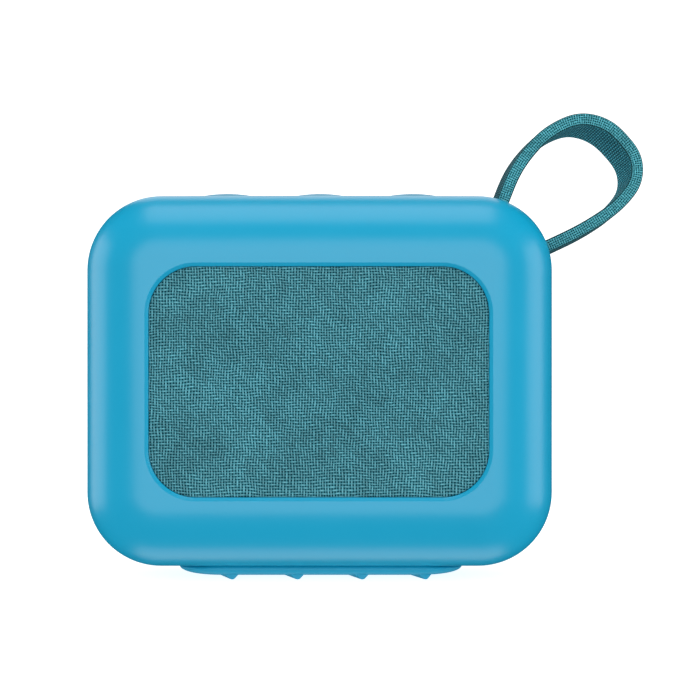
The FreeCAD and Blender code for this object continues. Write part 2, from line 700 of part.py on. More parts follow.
def top_button(x):
    """A low dome through the top wall, with a flange and a stem inside."""
    flange_top = top_z - wall - flange_gap
    crown = button_dome - button_edge
    ball = (button_radius ** 2 + crown ** 2) / (2 * crown)
    cap = rod_z(button_radius, flange_top - button_flange, top_z + button_dome, x, button_y)
    cap = cap.common(Part.makeSphere(ball, Vector(x, button_y, top_z + button_dome - ball)))
    flange = rod_z(button_radius + flange_step, flange_top - button_flange, flange_top, x, button_y)
    stem = rod_z(stem_radius, switch_top_z() + plunger_rise, flange_top, x, button_y)
    return cap.fuse([flange, stem]).removeSplitter()


def top_plunger(x):
    top = switch_top_z()
    return rod_z(plunger_radius, top - plunger_depth, top + plunger_rise, x, button_y)


def button_board():
    return block(-button_board_half_x, button_board_half_x, button_y - button_board_half_y,
                 button_y + button_board_half_y, button_board_z, button_board_z + board_thickness)


def top_switches():
    half = switch_size / 2
    bottom, top = button_board_z + board_thickness, switch_top_z()
    return [block(x - half, x + half, button_y - half, button_y + half, bottom, top).cut(
        rod_z(plunger_hole, top - plunger_room, top, x, button_y)) for x in button_places()]


def microphone():
    top = button_board_z + board_thickness
    return rod_z(microphone_radius, top, top + microphone_height, button_pitch / 2, button_y)


# ---------------------------------------------------------------- back: board, port, power button

def main_board():
    board = block(board_left, board_right, board_front_y, board_back_y, board_bottom, board_top)
    return board.cut([rod_y(small_screw_radius + fit_gap, board_front_y, board_back_y, x, z)
                      for x, z in board_posts])


def board_screws():
    return [screw(x, z, back_inside_y - wall, board_front_y, board_front_y - small_head_height,
                  small_screw_radius, small_head_radius) for x, z in board_posts]


def chip(x, z, size):
    """A flat square package on the board's front face."""
    return centred_block(x, z, size, size, board_front_y - chip_height, board_front_y)


def board_components():
    """Capacitors and resistors in two short columns, and two coils, each a solid of its own."""
    heights = [component_z + component_pitch * i for i in range(component_count)]
    parts = [chip(capacitor_x, z, capacitor_size) for z in heights]
    parts += [chip(resistor_x, z, resistor_size) for z in heights]
    parts += [rod_y(inductor_radius, board_front_y - inductor_height, board_front_y, x, z)
              for x, z in coil_places]
    return parts


def lead_connectors():
    """Two headers on the board's front, one for the battery and one for the driver."""
    centre_x, width = (connector_left + connector_right) / 2, connector_right - connector_left
    heights = [route[-1][2] for route in (battery_lead_route, speaker_lead_route)]
    return [centred_block(centre_x, z, width, connector_height, connector_front_y, board_front_y)
            for z in heights]


def usb_port():
    """The metal sleeve, its floor, and the contact tongue in it."""
    sleeve = racetrack(port_width, port_height, board_back_y, port_end_y, port_x, port_z)
    mouth = racetrack(port_width - 2 * port_wall, port_height - 2 * port_wall,
                      board_back_y + tongue_start, port_end_y + beyond, port_x, port_z)
    tongue = centred_block(port_x, port_z, tongue_width, tongue_height, board_back_y + tongue_start / 2,
                           tongue_end_y)
    return sleeve.cut(mouth).fuse(tongue).removeSplitter()


def cover_bottom_z():
    return port_z - cover_height / 2


def port_cover():
    """The rubber flap over the port, hinged along its lower outer edge, with a nub for the mouth."""
    inner_y = cover_outer_y - cover_thickness
    flap = plate(cover_width, cover_height, cover_corner - cover_gap, inner_y, cover_outer_y,
                 port_x, port_z)
    nub = racetrack(cover_nub_width, cover_nub_height, inner_y - cover_nub_depth, inner_y,
                    port_x, port_z)
    return flap.fuse(nub).removeSplitter()


def anchor_form(gap):
    """The strip below the flap that holds it to the back shell, or its slot."""
    half = anchor_half_width + gap
    top = cover_bottom_z() - cover_gap / 2 + gap
    return block(port_x - half, port_x + half, anchor_inner_y - gap, cover_outer_y,
                 top - anchor_height - 2 * gap, top)


def power_button():
    flange_back = back_inside_y - flange_gap
    cap = rod_y(power_radius, flange_back - power_flange, back_y + power_proud, power_x, power_z)
    cap = cap.makeFillet(power_proud / 2, edges_at(cap, back_y + power_proud))
    flange = rod_y(power_flange_radius, flange_back - power_flange, flange_back, power_x, power_z)
    stem = rod_y(power_stem_radius, power_switch_end() + plunger_rise, flange_back, power_x, power_z)
    return cap.fuse([flange, stem]).removeSplitter()


def power_switch_end():
    return board_back_y + power_switch_height


def power_plunger():
    end = power_switch_end()
    return rod_y(plunger_radius, end - plunger_depth, end + plunger_rise, power_x, power_z)


def power_switch():
    end = power_switch_end()
    body = centred_block(power_x, power_z, switch_size, switch_size, board_back_y, end)
    return body.cut(rod_y(plunger_hole, end - power_plunger_room, end, power_x, power_z))


def status_led():
    return centred_block(light_x, light_z, led_size, led_size, board_back_y, board_back_y + led_height)


def light_pipe():
    return rod_y(light_radius, board_back_y + led_height + light_gap, back_y, light_x, light_z)


# ---------------------------------------------------------------- battery, leads, antenna

def battery_cell():
    return plate(battery_width, battery_height, battery_corner, battery_front_y, battery_back_y,
                 battery_x, battery_z)


def battery_tray():
    """An open frame round the cell, standing on the back wall."""
    width, height = battery_width + 2 * cover_gap, battery_height + 2 * cover_gap
    outer = plate(width + 2 * tray_wall, height + 2 * tray_wall, battery_corner + tray_wall,
                  tray_front_y, back_inside_y, battery_x, battery_z)
    inner = plate(width, height, battery_corner, tray_front_y - beyond, back_inside_y + beyond,
                  battery_x, battery_z)
    return outer.cut(inner)


def battery_foam():
    return plate(foam_width, foam_height, battery_corner, battery_front_y - foam_thickness,
                 battery_front_y, battery_x, battery_z)


def lead_pair(route):
    """Two leads side by side along one route."""
    lower = [(x, y, z - lead_pitch / 2) for x, y, z in route]
    upper = [(x, y, z + lead_pitch / 2) for x, y, z in route]
    return [tube(lower, lead_radius), tube(upper, lead_radius)]


def antenna():
    """A printed strip on the inside of the left wall."""
    left = -side_x + wall
    return block(left, left + antenna_thickness, antenna_front_y, antenna_back_y, antenna_z,
                 antenna_z + antenna_height)


# ---------------------------------------------------------------- foot

def rib(front_x):
    """One oblique grip rib: a low ridge that runs back and to the left, with a flat tip."""
    tip_z = bottom_z - foot_drop - rib_drop
    root_z = bottom_z - foot_drop / 2
    rise = root_z - tip_z
    flare = (rib_root_width - rib_tip_width) / 2 * rise / rib_drop
    section = [(-rib_tip_width / 2, tip_z), (rib_tip_width / 2, tip_z),
               (rib_tip_width / 2 + flare, root_z), (-rib_tip_width / 2 - flare, root_z)]
    start_y, end_y = foot_front_y, foot_back_y
    points = [Vector(front_x + x, start_y, z) for x, z in section]
    run = end_y - start_y
    return Part.Face(Part.makePolygon(points + points[:1])).extrude(Vector(-rib_lean * run, run, 0))


def foot_outline(inset, z0, z1):
    """The foot's rounded outline, drawn in by inset, as an upright block."""
    half = foot_width / 2 - inset
    slab = block(-half, half, foot_front_y + inset, foot_back_y - inset, z0, z1)
    upright = [e for e in slab.Edges if abs(e.tangentAt(e.FirstParameter).z) > 1 - touch]
    return slab.makeFillet(foot_corner - inset, upright)


def foot_pad():
    """The rubber foot under the casing, with its ribs and the two pegs that hold it."""
    low = bottom_z - foot_drop
    pad = foot_outline(0.0, low, bottom_z + wall)
    rim = [e for e in pad.Edges if abs(e.BoundBox.ZMax - low) < touch]
    pad = pad.makeFillet(foot_edge, rim).cut(outer_form())
    room = foot_outline(foot_edge, low - rib_drop, bottom_z)
    ribs = [rib(x).common(room) for x in rib_front_x]
    pegs = [rod_z(foot_peg_radius, bottom_z - foot_drop / 2, bottom_z + foot_peg_length, x, foot_peg_y)
            for x in (-foot_peg_x, foot_peg_x)]
    return pad.fuse(ribs + pegs).removeSplitter()


# ---------------------------------------------------------------- all sub-parts

def all_parts():
    """Every sub-part by name. A list is a group of separate solids in one node."""
    parts = {
        "front_shell": front_shell(),
        "rear_shell": rear_shell(),
        "shell_seal": shell_seal(),
        "casing_screws": casing_screws(),
        "grille_cloth": grille_cloth(),
        "grille_mesh": grille_mesh(),
        "grille_frame": grille_frame(),
        "baffle": baffle(),
        "baffle_screws": baffle_screws(),
        "driver_gasket": driver_gasket(),
        "driver_basket": driver_basket(),
        "driver_screws": driver_screw_group(),
        "driver_top_plate": driver_top_plate(),
        "driver_magnet": driver_magnet(),
        "driver_yoke": driver_yoke(),
        "driver_cone": cone(),
        "driver_surround": surround(),
        "driver_dust_cap": dust_cap(),
        "driver_voice_coil": voice_coil(),
        "driver_spider": spider(),
        "radiator_frame": radiator_frame(),
        "radiator_surround": radiator_surround(),
        "radiator_plate": radiator_plate(),
        "radiator_weight": radiator_weight(),
        "button_board": button_board(),
        "top_switches": top_switches(),
        "microphone": microphone(),
        "main_board": main_board(),
        "board_screws": board_screws(),
        "board_components": board_components(),
        "bluetooth_chip": chip(chip_x, bluetooth_chip_z, bluetooth_chip_size),
        "amplifier_chip": chip(chip_x, amplifier_chip_z, amplifier_chip_size),
        "lead_connectors": lead_connectors(),
        "usb_port": usb_port(),
        "port_cover": port_cover(),
        "port_cover_anchor": anchor_form(0.0),
        "power_button": power_button(),
        "power_plunger": power_plunger(),
        "power_switch": power_switch(),
        "status_led": status_led(),
        "light_pipe": light_pipe(),
        "battery_cell": battery_cell(),
        "battery_tray": battery_tray(),
        "battery_foam": battery_foam(),
        "battery_leads": lead_pair(battery_lead_route),
        "speaker_leads": lead_pair(speaker_lead_route),
        "antenna": antenna(),
        "foot_pad": foot_pad(),
        "strap_loop": strap_loop(),
        "strap_root": strap_root(),
        "strap_retainer": strap_retainer(),
        "strap_screw": strap_screw(),
    }
    for name, x in zip(("volume_down", "play", "volume_up"), button_places()):
        parts[name + "_button"] = top_button(x)
        parts[name + "_plunger"] = top_plunger(x)
    return parts


def export(name, piece):
    solids = piece if isinstance(piece, list) else piece.Solids
    shape = Part.makeCompound(solids) if len(solids) > 1 else solids[0]
    shape.translate(LIFT)
    shape.exportStep(f"parts/{name}.step")
    box = shape.BoundBox
    print(f"{name}: {len(solids)} solid, {shape.Volume:.1f} mm3, valid {shape.isValid()}, "
          f"{box.XLength:.2f} x {box.YLength:.2f} x {box.ZLength:.2f}")


def print_loop():
    corners, radii = loop_outline()
    x, z = post_centre()
    length = loop_band().Volume / (strap_width * strap_thickness)
    print("carry loop radii", [round(radius, 1) for radius in radii])
    print(f"carry loop post at {x:.2f}, {z:.2f}; length {length:.1f} mm")


os.makedirs("parts", exist_ok=True)
for part_name, part_piece in all_parts().items():
    export(part_name, part_piece)
print_loop()
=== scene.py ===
"""The looks of a compact portable speaker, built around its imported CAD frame.

Lengths are in millimetres, and become metres where a mesh is made. x runs to the speaker's right seen
from the front, y to its back and z up, as in the frame.
"""

import json
import math

import bmesh
import bpy
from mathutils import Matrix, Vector


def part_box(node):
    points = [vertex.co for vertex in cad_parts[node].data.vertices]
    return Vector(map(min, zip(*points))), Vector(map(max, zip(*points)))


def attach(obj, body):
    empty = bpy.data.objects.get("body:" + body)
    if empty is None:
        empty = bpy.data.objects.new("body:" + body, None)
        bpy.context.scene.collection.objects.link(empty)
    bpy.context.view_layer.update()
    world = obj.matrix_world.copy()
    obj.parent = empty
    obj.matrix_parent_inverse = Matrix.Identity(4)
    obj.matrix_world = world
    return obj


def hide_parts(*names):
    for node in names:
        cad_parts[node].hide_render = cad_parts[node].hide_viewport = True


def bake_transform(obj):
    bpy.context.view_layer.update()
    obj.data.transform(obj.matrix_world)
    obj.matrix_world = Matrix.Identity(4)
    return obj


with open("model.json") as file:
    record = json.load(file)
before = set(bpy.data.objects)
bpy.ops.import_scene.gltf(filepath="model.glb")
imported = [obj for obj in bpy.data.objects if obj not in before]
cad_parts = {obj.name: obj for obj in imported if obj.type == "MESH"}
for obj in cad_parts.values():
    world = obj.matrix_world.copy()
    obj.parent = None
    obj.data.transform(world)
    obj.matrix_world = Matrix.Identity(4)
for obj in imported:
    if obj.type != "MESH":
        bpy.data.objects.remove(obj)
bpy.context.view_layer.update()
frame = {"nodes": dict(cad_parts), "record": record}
nodes = frame["nodes"]

MM = 0.001


def place(node):
    """A CAD node's lowest and highest corner, in millimetres."""
    low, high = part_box(node)
    return low / MM, high / MM


def middle(node):
    low, high = place(node)
    return (low + high) / 2


# ---------------------------------------------------------------- driving sizes

front_low, front_high = place("front_shell")
rear_high = place("rear_shell")[1]
HALF_X = front_high.x
HALF_Z = (front_high.z - front_low.z) / 2
MID_Z = (front_high.z + front_low.z) / 2
TOP_Z, BOTTOM_Z = front_high.z, front_low.z
FRONT_Y, SPLIT_Y, BACK_Y = front_low.y, front_high.y, rear_high.y
CORNER, FRONT_ROUND, BACK_ROUND, WALL = 15.0, 12.5, 9.0, 2.0
GROOVE = 0.22                                  # edge round on each side of the parting line
OPENING_X, OPENING_Z, OPENING_CORNER = 33.7, 22.85, 9.3
# The bevel round the opening: how far outside the opening, and how deep below the front face.
RIM_PROFILE = [(0.80, 0.0), (0.73, 0.015), (0.66, 0.05), (0.58, 0.105), (0.10, 0.39), (0.03, 0.47),
               (0.0, 0.60)]
CROWN = 0.16                                   # rise of the casing's top from its sides to its middle
CLEAR = 0.01                                   # how far a cutting tool's mouth starts beyond the surface
SCREW_X, SCREW_Z = 29.0, 29.5
BOSS_RADIUS, PILLAR_RADIUS, SCREW_WELL_RADIUS, SCREW_BORE_RADIUS = 3.0, 3.5, 2.5, 1.05
STRAP_WIDTH, STRAP_THICKNESS, SLOT_GAP = 13.0, 2.6, 0.35
STRAP_EDGE = 0.5                               # rounding of the strap's four edges
STRAP_HALF_X, STRAP_HALF_Y = STRAP_THICKNESS / 2 - 0.03, STRAP_WIDTH / 2
# Round the section, from a corner: an edge, a broad face, the other edge and the other broad face.
STRAP_ARC = STRAP_EDGE * math.pi / 2
STRAP_SHORT, STRAP_LONG = 2 * (STRAP_HALF_X - STRAP_EDGE), 2 * (STRAP_HALF_Y - STRAP_EDGE)
FIRST_FACE = 2 * STRAP_ARC + STRAP_SHORT
SECOND_FACE = FIRST_FACE + STRAP_LONG + 2 * STRAP_ARC + STRAP_SHORT
GROOVE_OUT, RIB_PITCH, DASH_PITCH = 0.35, 0.6, 1.4
# Where each broad face starts and ends round the section, and its tone, which is partly painted light and
# shade: the inner face, then the outer.
STRAP_FACES = [(FIRST_FACE, FIRST_FACE + STRAP_LONG, 1.42), (SECOND_FACE, SECOND_FACE + STRAP_LONG, 0.5)]


# ---------------------------------------------------------------- mesh helpers

def link(obj):
    bpy.context.scene.collection.objects.link(obj)
    return obj


def make_piece(name, points, faces, material=None):
    """A mesh object from points in millimetres, with its faces turned outwards."""
    mesh = bpy.data.meshes.new(name)
    mesh.from_pydata([Vector(p) * MM for p in points], [], faces)
    work = bmesh.new()
    work.from_mesh(mesh)
    bmesh.ops.remove_doubles(work, verts=work.verts, dist=1e-7)
    bmesh.ops.recalc_face_normals(work, faces=work.faces)
    work.to_mesh(mesh)
    work.free()
    if material:
        mesh.materials.append(material)
    return link(bpy.data.objects.new(name, mesh))


def bridge(rings, closed=False, caps=True):
    """Points and quads of a skin over rings of equal length. closed joins the last ring to the first."""
    count = len(rings[0])
    points = [p for ring in rings for p in ring]
    faces = []
    pairs = list(zip(range(len(rings)), range(1, len(rings))))
    if closed:
        pairs.append((len(rings) - 1, 0))
    for a, b in pairs:
        for i in range(count):
            j = (i + 1) % count
            faces.append((a * count + i, a * count + j, b * count + j, b * count + i))
    if caps and not closed:
        last = (len(rings) - 1) * count
        faces.append(tuple(range(count)))
        faces.append(tuple(last + i for i in reversed(range(count))))
    return points, faces


def lofted(name, rings, material=None, closed=False, caps=True):
    return make_piece(name, *bridge(rings, closed, caps), material)


def rounded_outline(half_a, half_b, radius, corner_steps=10, side_steps=(1, 1)):
    """A rounded rectangle as (a, b) pairs, with the same number of points at any size."""
    reach_a, reach_b = half_a - radius, half_b - radius
    corners = [(reach_a, reach_b), (-reach_a, reach_b), (-reach_a, -reach_b), (reach_a, -reach_b)]
    points = []
    for index, (a, b) in enumerate(corners):
        for step in range(corner_steps + 1):
            angle = math.pi / 2 * (index + step / corner_steps)
            points.append((a + radius * math.cos(angle), b + radius * math.sin(angle)))
        next_a, next_b = corners[(index + 1) % 4]
        angle = math.pi / 2 * (index + 1)
        end = (next_a + radius * math.cos(angle), next_b + radius * math.sin(angle))
        start = points[-1]
        count = side_steps[index % 2]
        for step in range(1, count):
            share = step / count
            points.append(tuple(s + (e - s) * share for s, e in zip(start, end)))
    return points


def facing_y(outline, y, x=0.0, z=0.0):
    return [(x + a, y, z + b) for a, b in outline]


def facing_z(outline, z, x=0.0, y=0.0):
    return [(x + a, y + b, z) for a, b in outline]


def quarter(steps, start=0.0):
    """(1 - cos, sin) pairs from an angle in degrees up to 90, for rounding an edge."""
    angles = [math.radians(start + (90.0 - start) * i / steps) for i in range(steps + 1)]
    return [(1 - math.cos(angle), math.sin(angle)) for angle in angles]


def turned(name, profile, x, other, along_y=False, material=None, steps=64):
    """A closed profile of (radius, height) turned about an upright axis, or about one along y."""
    rings = []
    for radius, height in profile:
        ring = []
        for i in range(steps):
            angle = 2 * math.pi * i / steps
            a, b = radius * math.cos(angle), radius * math.sin(angle)
            ring.append((x + a, height, other + b) if along_y else (x + a, other + b, height))
        rings.append(ring)
    return lofted(name, rings, material)


def block(name, low, high, edge=0.0):
    """A box, with rounded edges where edge is more than 0."""
    work = bmesh.new()
    bmesh.ops.create_cube(work, size=1.0)
    for vert in work.verts:
        vert.co = Vector([(low[i] + high[i]) / 2 + vert.co[i] * (high[i] - low[i]) for i in range(3)]) * MM
    if edge:
        bmesh.ops.bevel(work, geom=work.edges[:], offset=edge * MM, segments=3, profile=0.5,
                        affect="EDGES")
    mesh = bpy.data.meshes.new(name)
    work.to_mesh(mesh)
    work.free()
    return link(bpy.data.objects.new(name, mesh))


def combine(obj, operation, tools):
    """Joins closed tools to obj, or cuts them out of it, and takes the tools away."""
    for tool in tools:
        modifier = obj.modifiers.new("combine", "BOOLEAN")
        modifier.operation = operation
        modifier.solver = "EXACT"
        modifier.object = tool
    graph = bpy.context.evaluated_depsgraph_get()
    mesh = bpy.data.meshes.new_from_object(obj.evaluated_get(graph))
    obj.modifiers.clear()
    obj.data = mesh
    for tool in tools:
        bpy.data.objects.remove(tool)
    return obj


def shade(obj, angle=35.0, weighted=True):
    """Smooth shading that keeps edges sharper than angle."""
    obj.data.polygons.foreach_set("use_smooth", [True] * len(obj.data.polygons))
    obj.data.set_sharp_from_angle(angle=math.radians(angle))
    if weighted:
        modifier = obj.modifiers.new("weighted", "WEIGHTED_NORMAL")
        modifier.keep_sharp = True
    return obj


def finish_piece(obj, body, replaced=()):
    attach(obj, body)
    if replaced:
        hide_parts(*replaced)
    return obj


# ---------------------------------------------------------------- material helpers

class Paint:
    """One node material, with short calls for the nodes that it uses."""

    def __init__(self, name):
        self.material = bpy.data.materials.new(name)
        self.material.use_nodes = True
        self.tree = self.material.node_tree
        self.shader = self.tree.nodes["Principled BSDF"]

    def put(self, socket, value):
        if isinstance(value, bpy.types.NodeSocket):
            self.tree.links.new(value, socket)
        else:
            socket.default_value = value

    def node(self, kind, inputs=(), **settings):
        made = self.tree.nodes.new(kind)
        for key, value in settings.items():
            setattr(made, key, value)
        for key, value in dict(inputs).items():
            self.put(made.inputs[key], value)
        return made

    def math(self, operation, *values):
        made = self.node("ShaderNodeMath", operation=operation)
        for socket, value in zip(made.inputs, values):
            self.put(socket, value)
        return made.outputs[0]

    def object_place(self):
        return self.node("ShaderNodeTexCoord").outputs["Object"]

    def split(self, vector):
        return self.node("ShaderNodeSeparateXYZ", {"Vector": vector}).outputs

    def noise(self, size, detail=2.0, vector=None):
        """A noise of 0 to 1 whose features are about size millimetres across."""
        inputs = {"Vector": vector or self.object_place(), "Scale": 1 / (size * MM), "Detail": detail}
        return self.node("ShaderNodeTexNoise", inputs).outputs["Fac"]

    def span(self, value, low, high, start=0.0, end=1.0):
        """Carries value from start..end to low..high, held at the ends."""
        inputs = {"Value": value, "From Min": start, "From Max": end, "To Min": low, "To Max": high}
        return self.node("ShaderNodeMapRange", inputs).outputs["Result"]

    def colour(self, share, low, high):
        made = self.node("ShaderNodeMix", data_type="RGBA")
        self.put(made.inputs[0], share)
        self.put(made.inputs[6], low if isinstance(low, bpy.types.NodeSocket) else (*low, 1))
        self.put(made.inputs[7], high if isinstance(high, bpy.types.NodeSocket) else (*high, 1))
        return made.outputs[2]

    def scaled(self, colour, factor):
        """A colour made lighter or darker by a factor."""
        made = self.node("ShaderNodeVectorMath", operation="SCALE")
        self.put(made.inputs[0], colour)
        self.put(made.inputs["Scale"], factor)
        return made.outputs[0]

    def bump(self, height, depth):
        """Relief of height times depth millimetres."""
        made = self.node("ShaderNodeBump", {"Height": height, "Strength": 1.0, "Distance": depth * MM})
        self.put(self.shader.inputs["Normal"], made.outputs["Normal"])

    def set(self, **values):
        for key, value in values.items():
            self.put(self.shader.inputs[key.replace("_", " ")], value)
        return self


def tinted(colour, factor):
    return tuple(c * factor for c in colour)


def moulded(name, colour, roughness=0.45, grain=0.35, depth=0.004, variation=0.06, specular=0.5):
    """Moulded plastic or rubber: a fine grain, and slow changes of shade and gloss."""
    paint = Paint(name)
    slow = paint.noise(9.0, 3.0)
    shade_of = paint.colour(slow, tinted(colour, 1 - variation), tinted(colour, 1 + variation))
    fine = paint.noise(grain)
    gloss = paint.math("MULTIPLY_ADD", slow, 0.05, roughness - 0.025)
    paint.set(Base_Color=shade_of, Roughness=gloss)
    paint.shader.inputs["Specular IOR Level"].default_value = specular
    paint.bump(fine, depth)
    return paint


def metal(name, colour, roughness):
    """Metal with fine lines across the upright axis."""
    paint = Paint(name)
    mapped = paint.node("ShaderNodeMapping", {"Vector": paint.object_place(), "Scale": (1, 1, 12)})
    lines = paint.noise(0.5, 4.0, mapped.outputs[0])
    paint.set(Base_Color=paint.colour(lines, tinted(colour, 0.88), colour), Metallic=1.0,
              Roughness=paint.span(lines, roughness - 0.08, roughness + 0.08))
    paint.bump(lines, 0.002)
    return paint


def twill(paint, across, along):
    """Height of a twill of round threads, and a random share for each of its floats.

    across and along count threads. The upright threads pass over warp_float of each repeat and under
    the rest. width is a thread's share of the pitch, and sag how much lower a float's ends lie."""
    warp_float, repeat, width, sag, height_below = 3, 5, 0.66, 0.45, 0.66
    column, row = paint.math("FLOOR", across), paint.math("FLOOR", along)
    in_column, in_row = paint.math("FRACT", across), paint.math("FRACT", along)
    phase = paint.math("FLOORED_MODULO", paint.math("ADD", column, row), float(repeat))
    upright = paint.math("LESS_THAN", phase, warp_float - 0.5)

    def round_profile(position):
        offset = paint.math("DIVIDE", paint.math("SUBTRACT", position, 0.5), width / 2)
        inside = paint.math("SUBTRACT", 1.0, paint.math("MULTIPLY", offset, offset))
        return paint.math("SQRT", paint.math("MAXIMUM", inside, 0.0))

    def arch(position, length):
        share = paint.math("DIVIDE", position, float(length))
        centred = paint.math("MULTIPLY_ADD", share, 2.0, -1.0)
        steep = paint.math("POWER", paint.math("ABSOLUTE", centred), 4.0)
        return paint.math("SUBTRACT", 1.0, paint.math("MULTIPLY", steep, sag))

    run_up = paint.math("ADD", phase, in_row)
    run_over = paint.math("ADD", paint.math("SUBTRACT", phase, float(warp_float)), in_column)
    profile_up, profile_over = round_profile(in_column), round_profile(in_row)
    up = paint.math("MULTIPLY", profile_up, arch(run_up, warp_float))
    over = paint.math("MULTIPLY", profile_over, arch(run_over, repeat - warp_float))
    top = paint.node("ShaderNodeMix", {0: upright, 2: over, 3: up}, data_type="FLOAT").outputs[0]
    below = paint.node("ShaderNodeMix", {0: upright, 2: profile_up, 3: profile_over},
                       data_type="FLOAT").outputs[0]
    height = paint.math("MAXIMUM", top, paint.math("MULTIPLY", below, height_below))
    first = paint.math("SUBTRACT", row, paint.math("MULTIPLY", phase, upright))
    level = paint.math("SUBTRACT", 1.0, upright)
    second = paint.math("SUBTRACT", column, paint.math("MULTIPLY", phase, level))
    which = paint.node("ShaderNodeCombineXYZ", {0: first, 1: second, 2: upright}).outputs[0]
    own = paint.node("ShaderNodeTexWhiteNoise", {"Vector": which}, noise_dimensions="3D")
    return height, own.outputs["Value"]


def band_faces(paint, u, v, height, spans):
    """Ribs on a band's two broad faces, its own twill on its edges, and a dark line of painted shade between
    them.

    It gives the height, and the tone that the threads are multiplied by: each face's tone, partly painted
    light and shade, times the painted shade of that line."""
    inside, groove_shade, face_tone_and_shade = 0.0, 0.0, 1.0
    for low, high, tone in spans:
        middle_v, half = (low + high) / 2 * MM, (high - low) / 2 * MM
        away = paint.math("ABSOLUTE", paint.math("SUBTRACT", v, middle_v))
        share = paint.span(away, 1.0, 0.0, half - 0.1 * MM, half + 0.2 * MM)
        inside = paint.math("MAXIMUM", inside, share)
        # Each broad face's tone lightens or darkens it: partly painted light and shade.
        face_tone_and_shade = paint.math("MULTIPLY", face_tone_and_shade, paint.math("MULTIPLY_ADD", share, tone - 1, 1.0))
        # A narrow band just outside each face is darkened with no change of height: painted shade.
        from_groove = paint.math("ABSOLUTE", paint.math("SUBTRACT", away, half + GROOVE_OUT * MM))
        groove_shade = paint.math("MAXIMUM", groove_shade, paint.span(from_groove, 1.0, 0.0, 0.08 * MM, 0.28 * MM))
    rib = paint.math("DIVIDE", u, RIB_PITCH * MM)
    rib_wave = paint.math("ABSOLUTE", paint.math("SINE", paint.math("MULTIPLY", rib, math.pi)))
    stagger = paint.math("MULTIPLY", paint.math("FLOOR", rib), 0.37)
    dash = paint.math("ADD", paint.math("DIVIDE", v, DASH_PITCH * MM), stagger)
    dash_sine = paint.math("SINE", paint.math("MULTIPLY", dash, 2 * math.pi))
    dash_wave = paint.math("MULTIPLY_ADD", dash_sine, 0.5, 0.5)
    rib_height = paint.math("MULTIPLY", rib_wave, paint.math("MULTIPLY_ADD", dash_wave, 0.65, 0.35))
    ribs = paint.math("MULTIPLY_ADD", rib_height, 0.78, 0.12)
    mixed = paint.node("ShaderNodeMix", {0: inside, 2: height, 3: ribs}, data_type="FLOAT").outputs[0]
    return mixed, paint.math("MULTIPLY", face_tone_and_shade, paint.math("MULTIPLY_ADD", groove_shade, -0.7, 1.0))


def woven(name, gap, flank_shade, thread, pitch, uv_name=None, depth=0.16, wander=0.13, band_spans=None):
    """Twill cloth, whose colours are its gaps', its threads' flanks' and their tops', darker the lower the
    weave lies: painted shade in the gaps and on the flanks.

    Its threads follow a UV map in metres, or x and z where there is none, and drift by wander."""
    mottle = 0.13
    paint = Paint(name)
    if uv_name:
        place_of = paint.node("ShaderNodeUVMap", uv_map=uv_name).outputs[0]
        u, v = paint.split(place_of)[0:2]
    else:
        place_of = paint.object_place()
        parts = paint.split(place_of)
        u, v = parts[0], parts[2]
    drift_u = paint.math("MULTIPLY_ADD", paint.noise(7.0, 1.0, place_of), wander * 16, -wander * 8)
    shift = paint.node("ShaderNodeVectorMath", {0: place_of, 1: (0.31, 0.17, 0.23)}, operation="ADD")
    drift_v = paint.math("MULTIPLY_ADD", paint.noise(7.0, 1.0, shift.outputs[0]), wander * 16, -wander * 8)
    across = paint.math("ADD", paint.math("DIVIDE", u, pitch * MM), drift_u)
    along = paint.math("ADD", paint.math("DIVIDE", v, pitch * MM), drift_v)
    height, own = twill(paint, across, along)
    # The strap's face tones and groove line, partly painted light and shade.
    band_tone_and_shade = 1.0
    if band_spans:
        height, band_tone_and_shade = band_faces(paint, u, v, height, band_spans)
    # The colour darkens from the threads' tops down their flanks into the gaps as the weave's height falls:
    # painted shade.
    lower = paint.colour(paint.span(height, 0.0, 1.0, 0.1, 0.6), gap, flank_shade)
    base = paint.colour(paint.span(height, 0.0, 1.0, 0.5, 0.95), lower, thread)
    patches = paint.span(paint.noise(11.0, 3.0, place_of), 1 - mottle, 1 + mottle, 0.3, 0.7)
    threads = paint.math("MULTIPLY_ADD", own, 0.30, 0.85)
    tone = paint.math("MULTIPLY", paint.math("MULTIPLY", patches, threads), band_tone_and_shade)
    paint.set(Base_Color=paint.scaled(base, tone), Roughness=0.8)
    paint.shader.inputs["Specular IOR Level"].default_value = 0.07
    paint.shader.inputs["Sheen Weight"].default_value = 0.03
    paint.shader.inputs["Sheen Roughness"].default_value = 0.5
    paint.shader.inputs["Sheen Tint"].default_value = (0.55, 0.85, 0.9, 1)
    paint.bump(height, depth)
    return paint


# ---------------------------------------------------------------- the materials

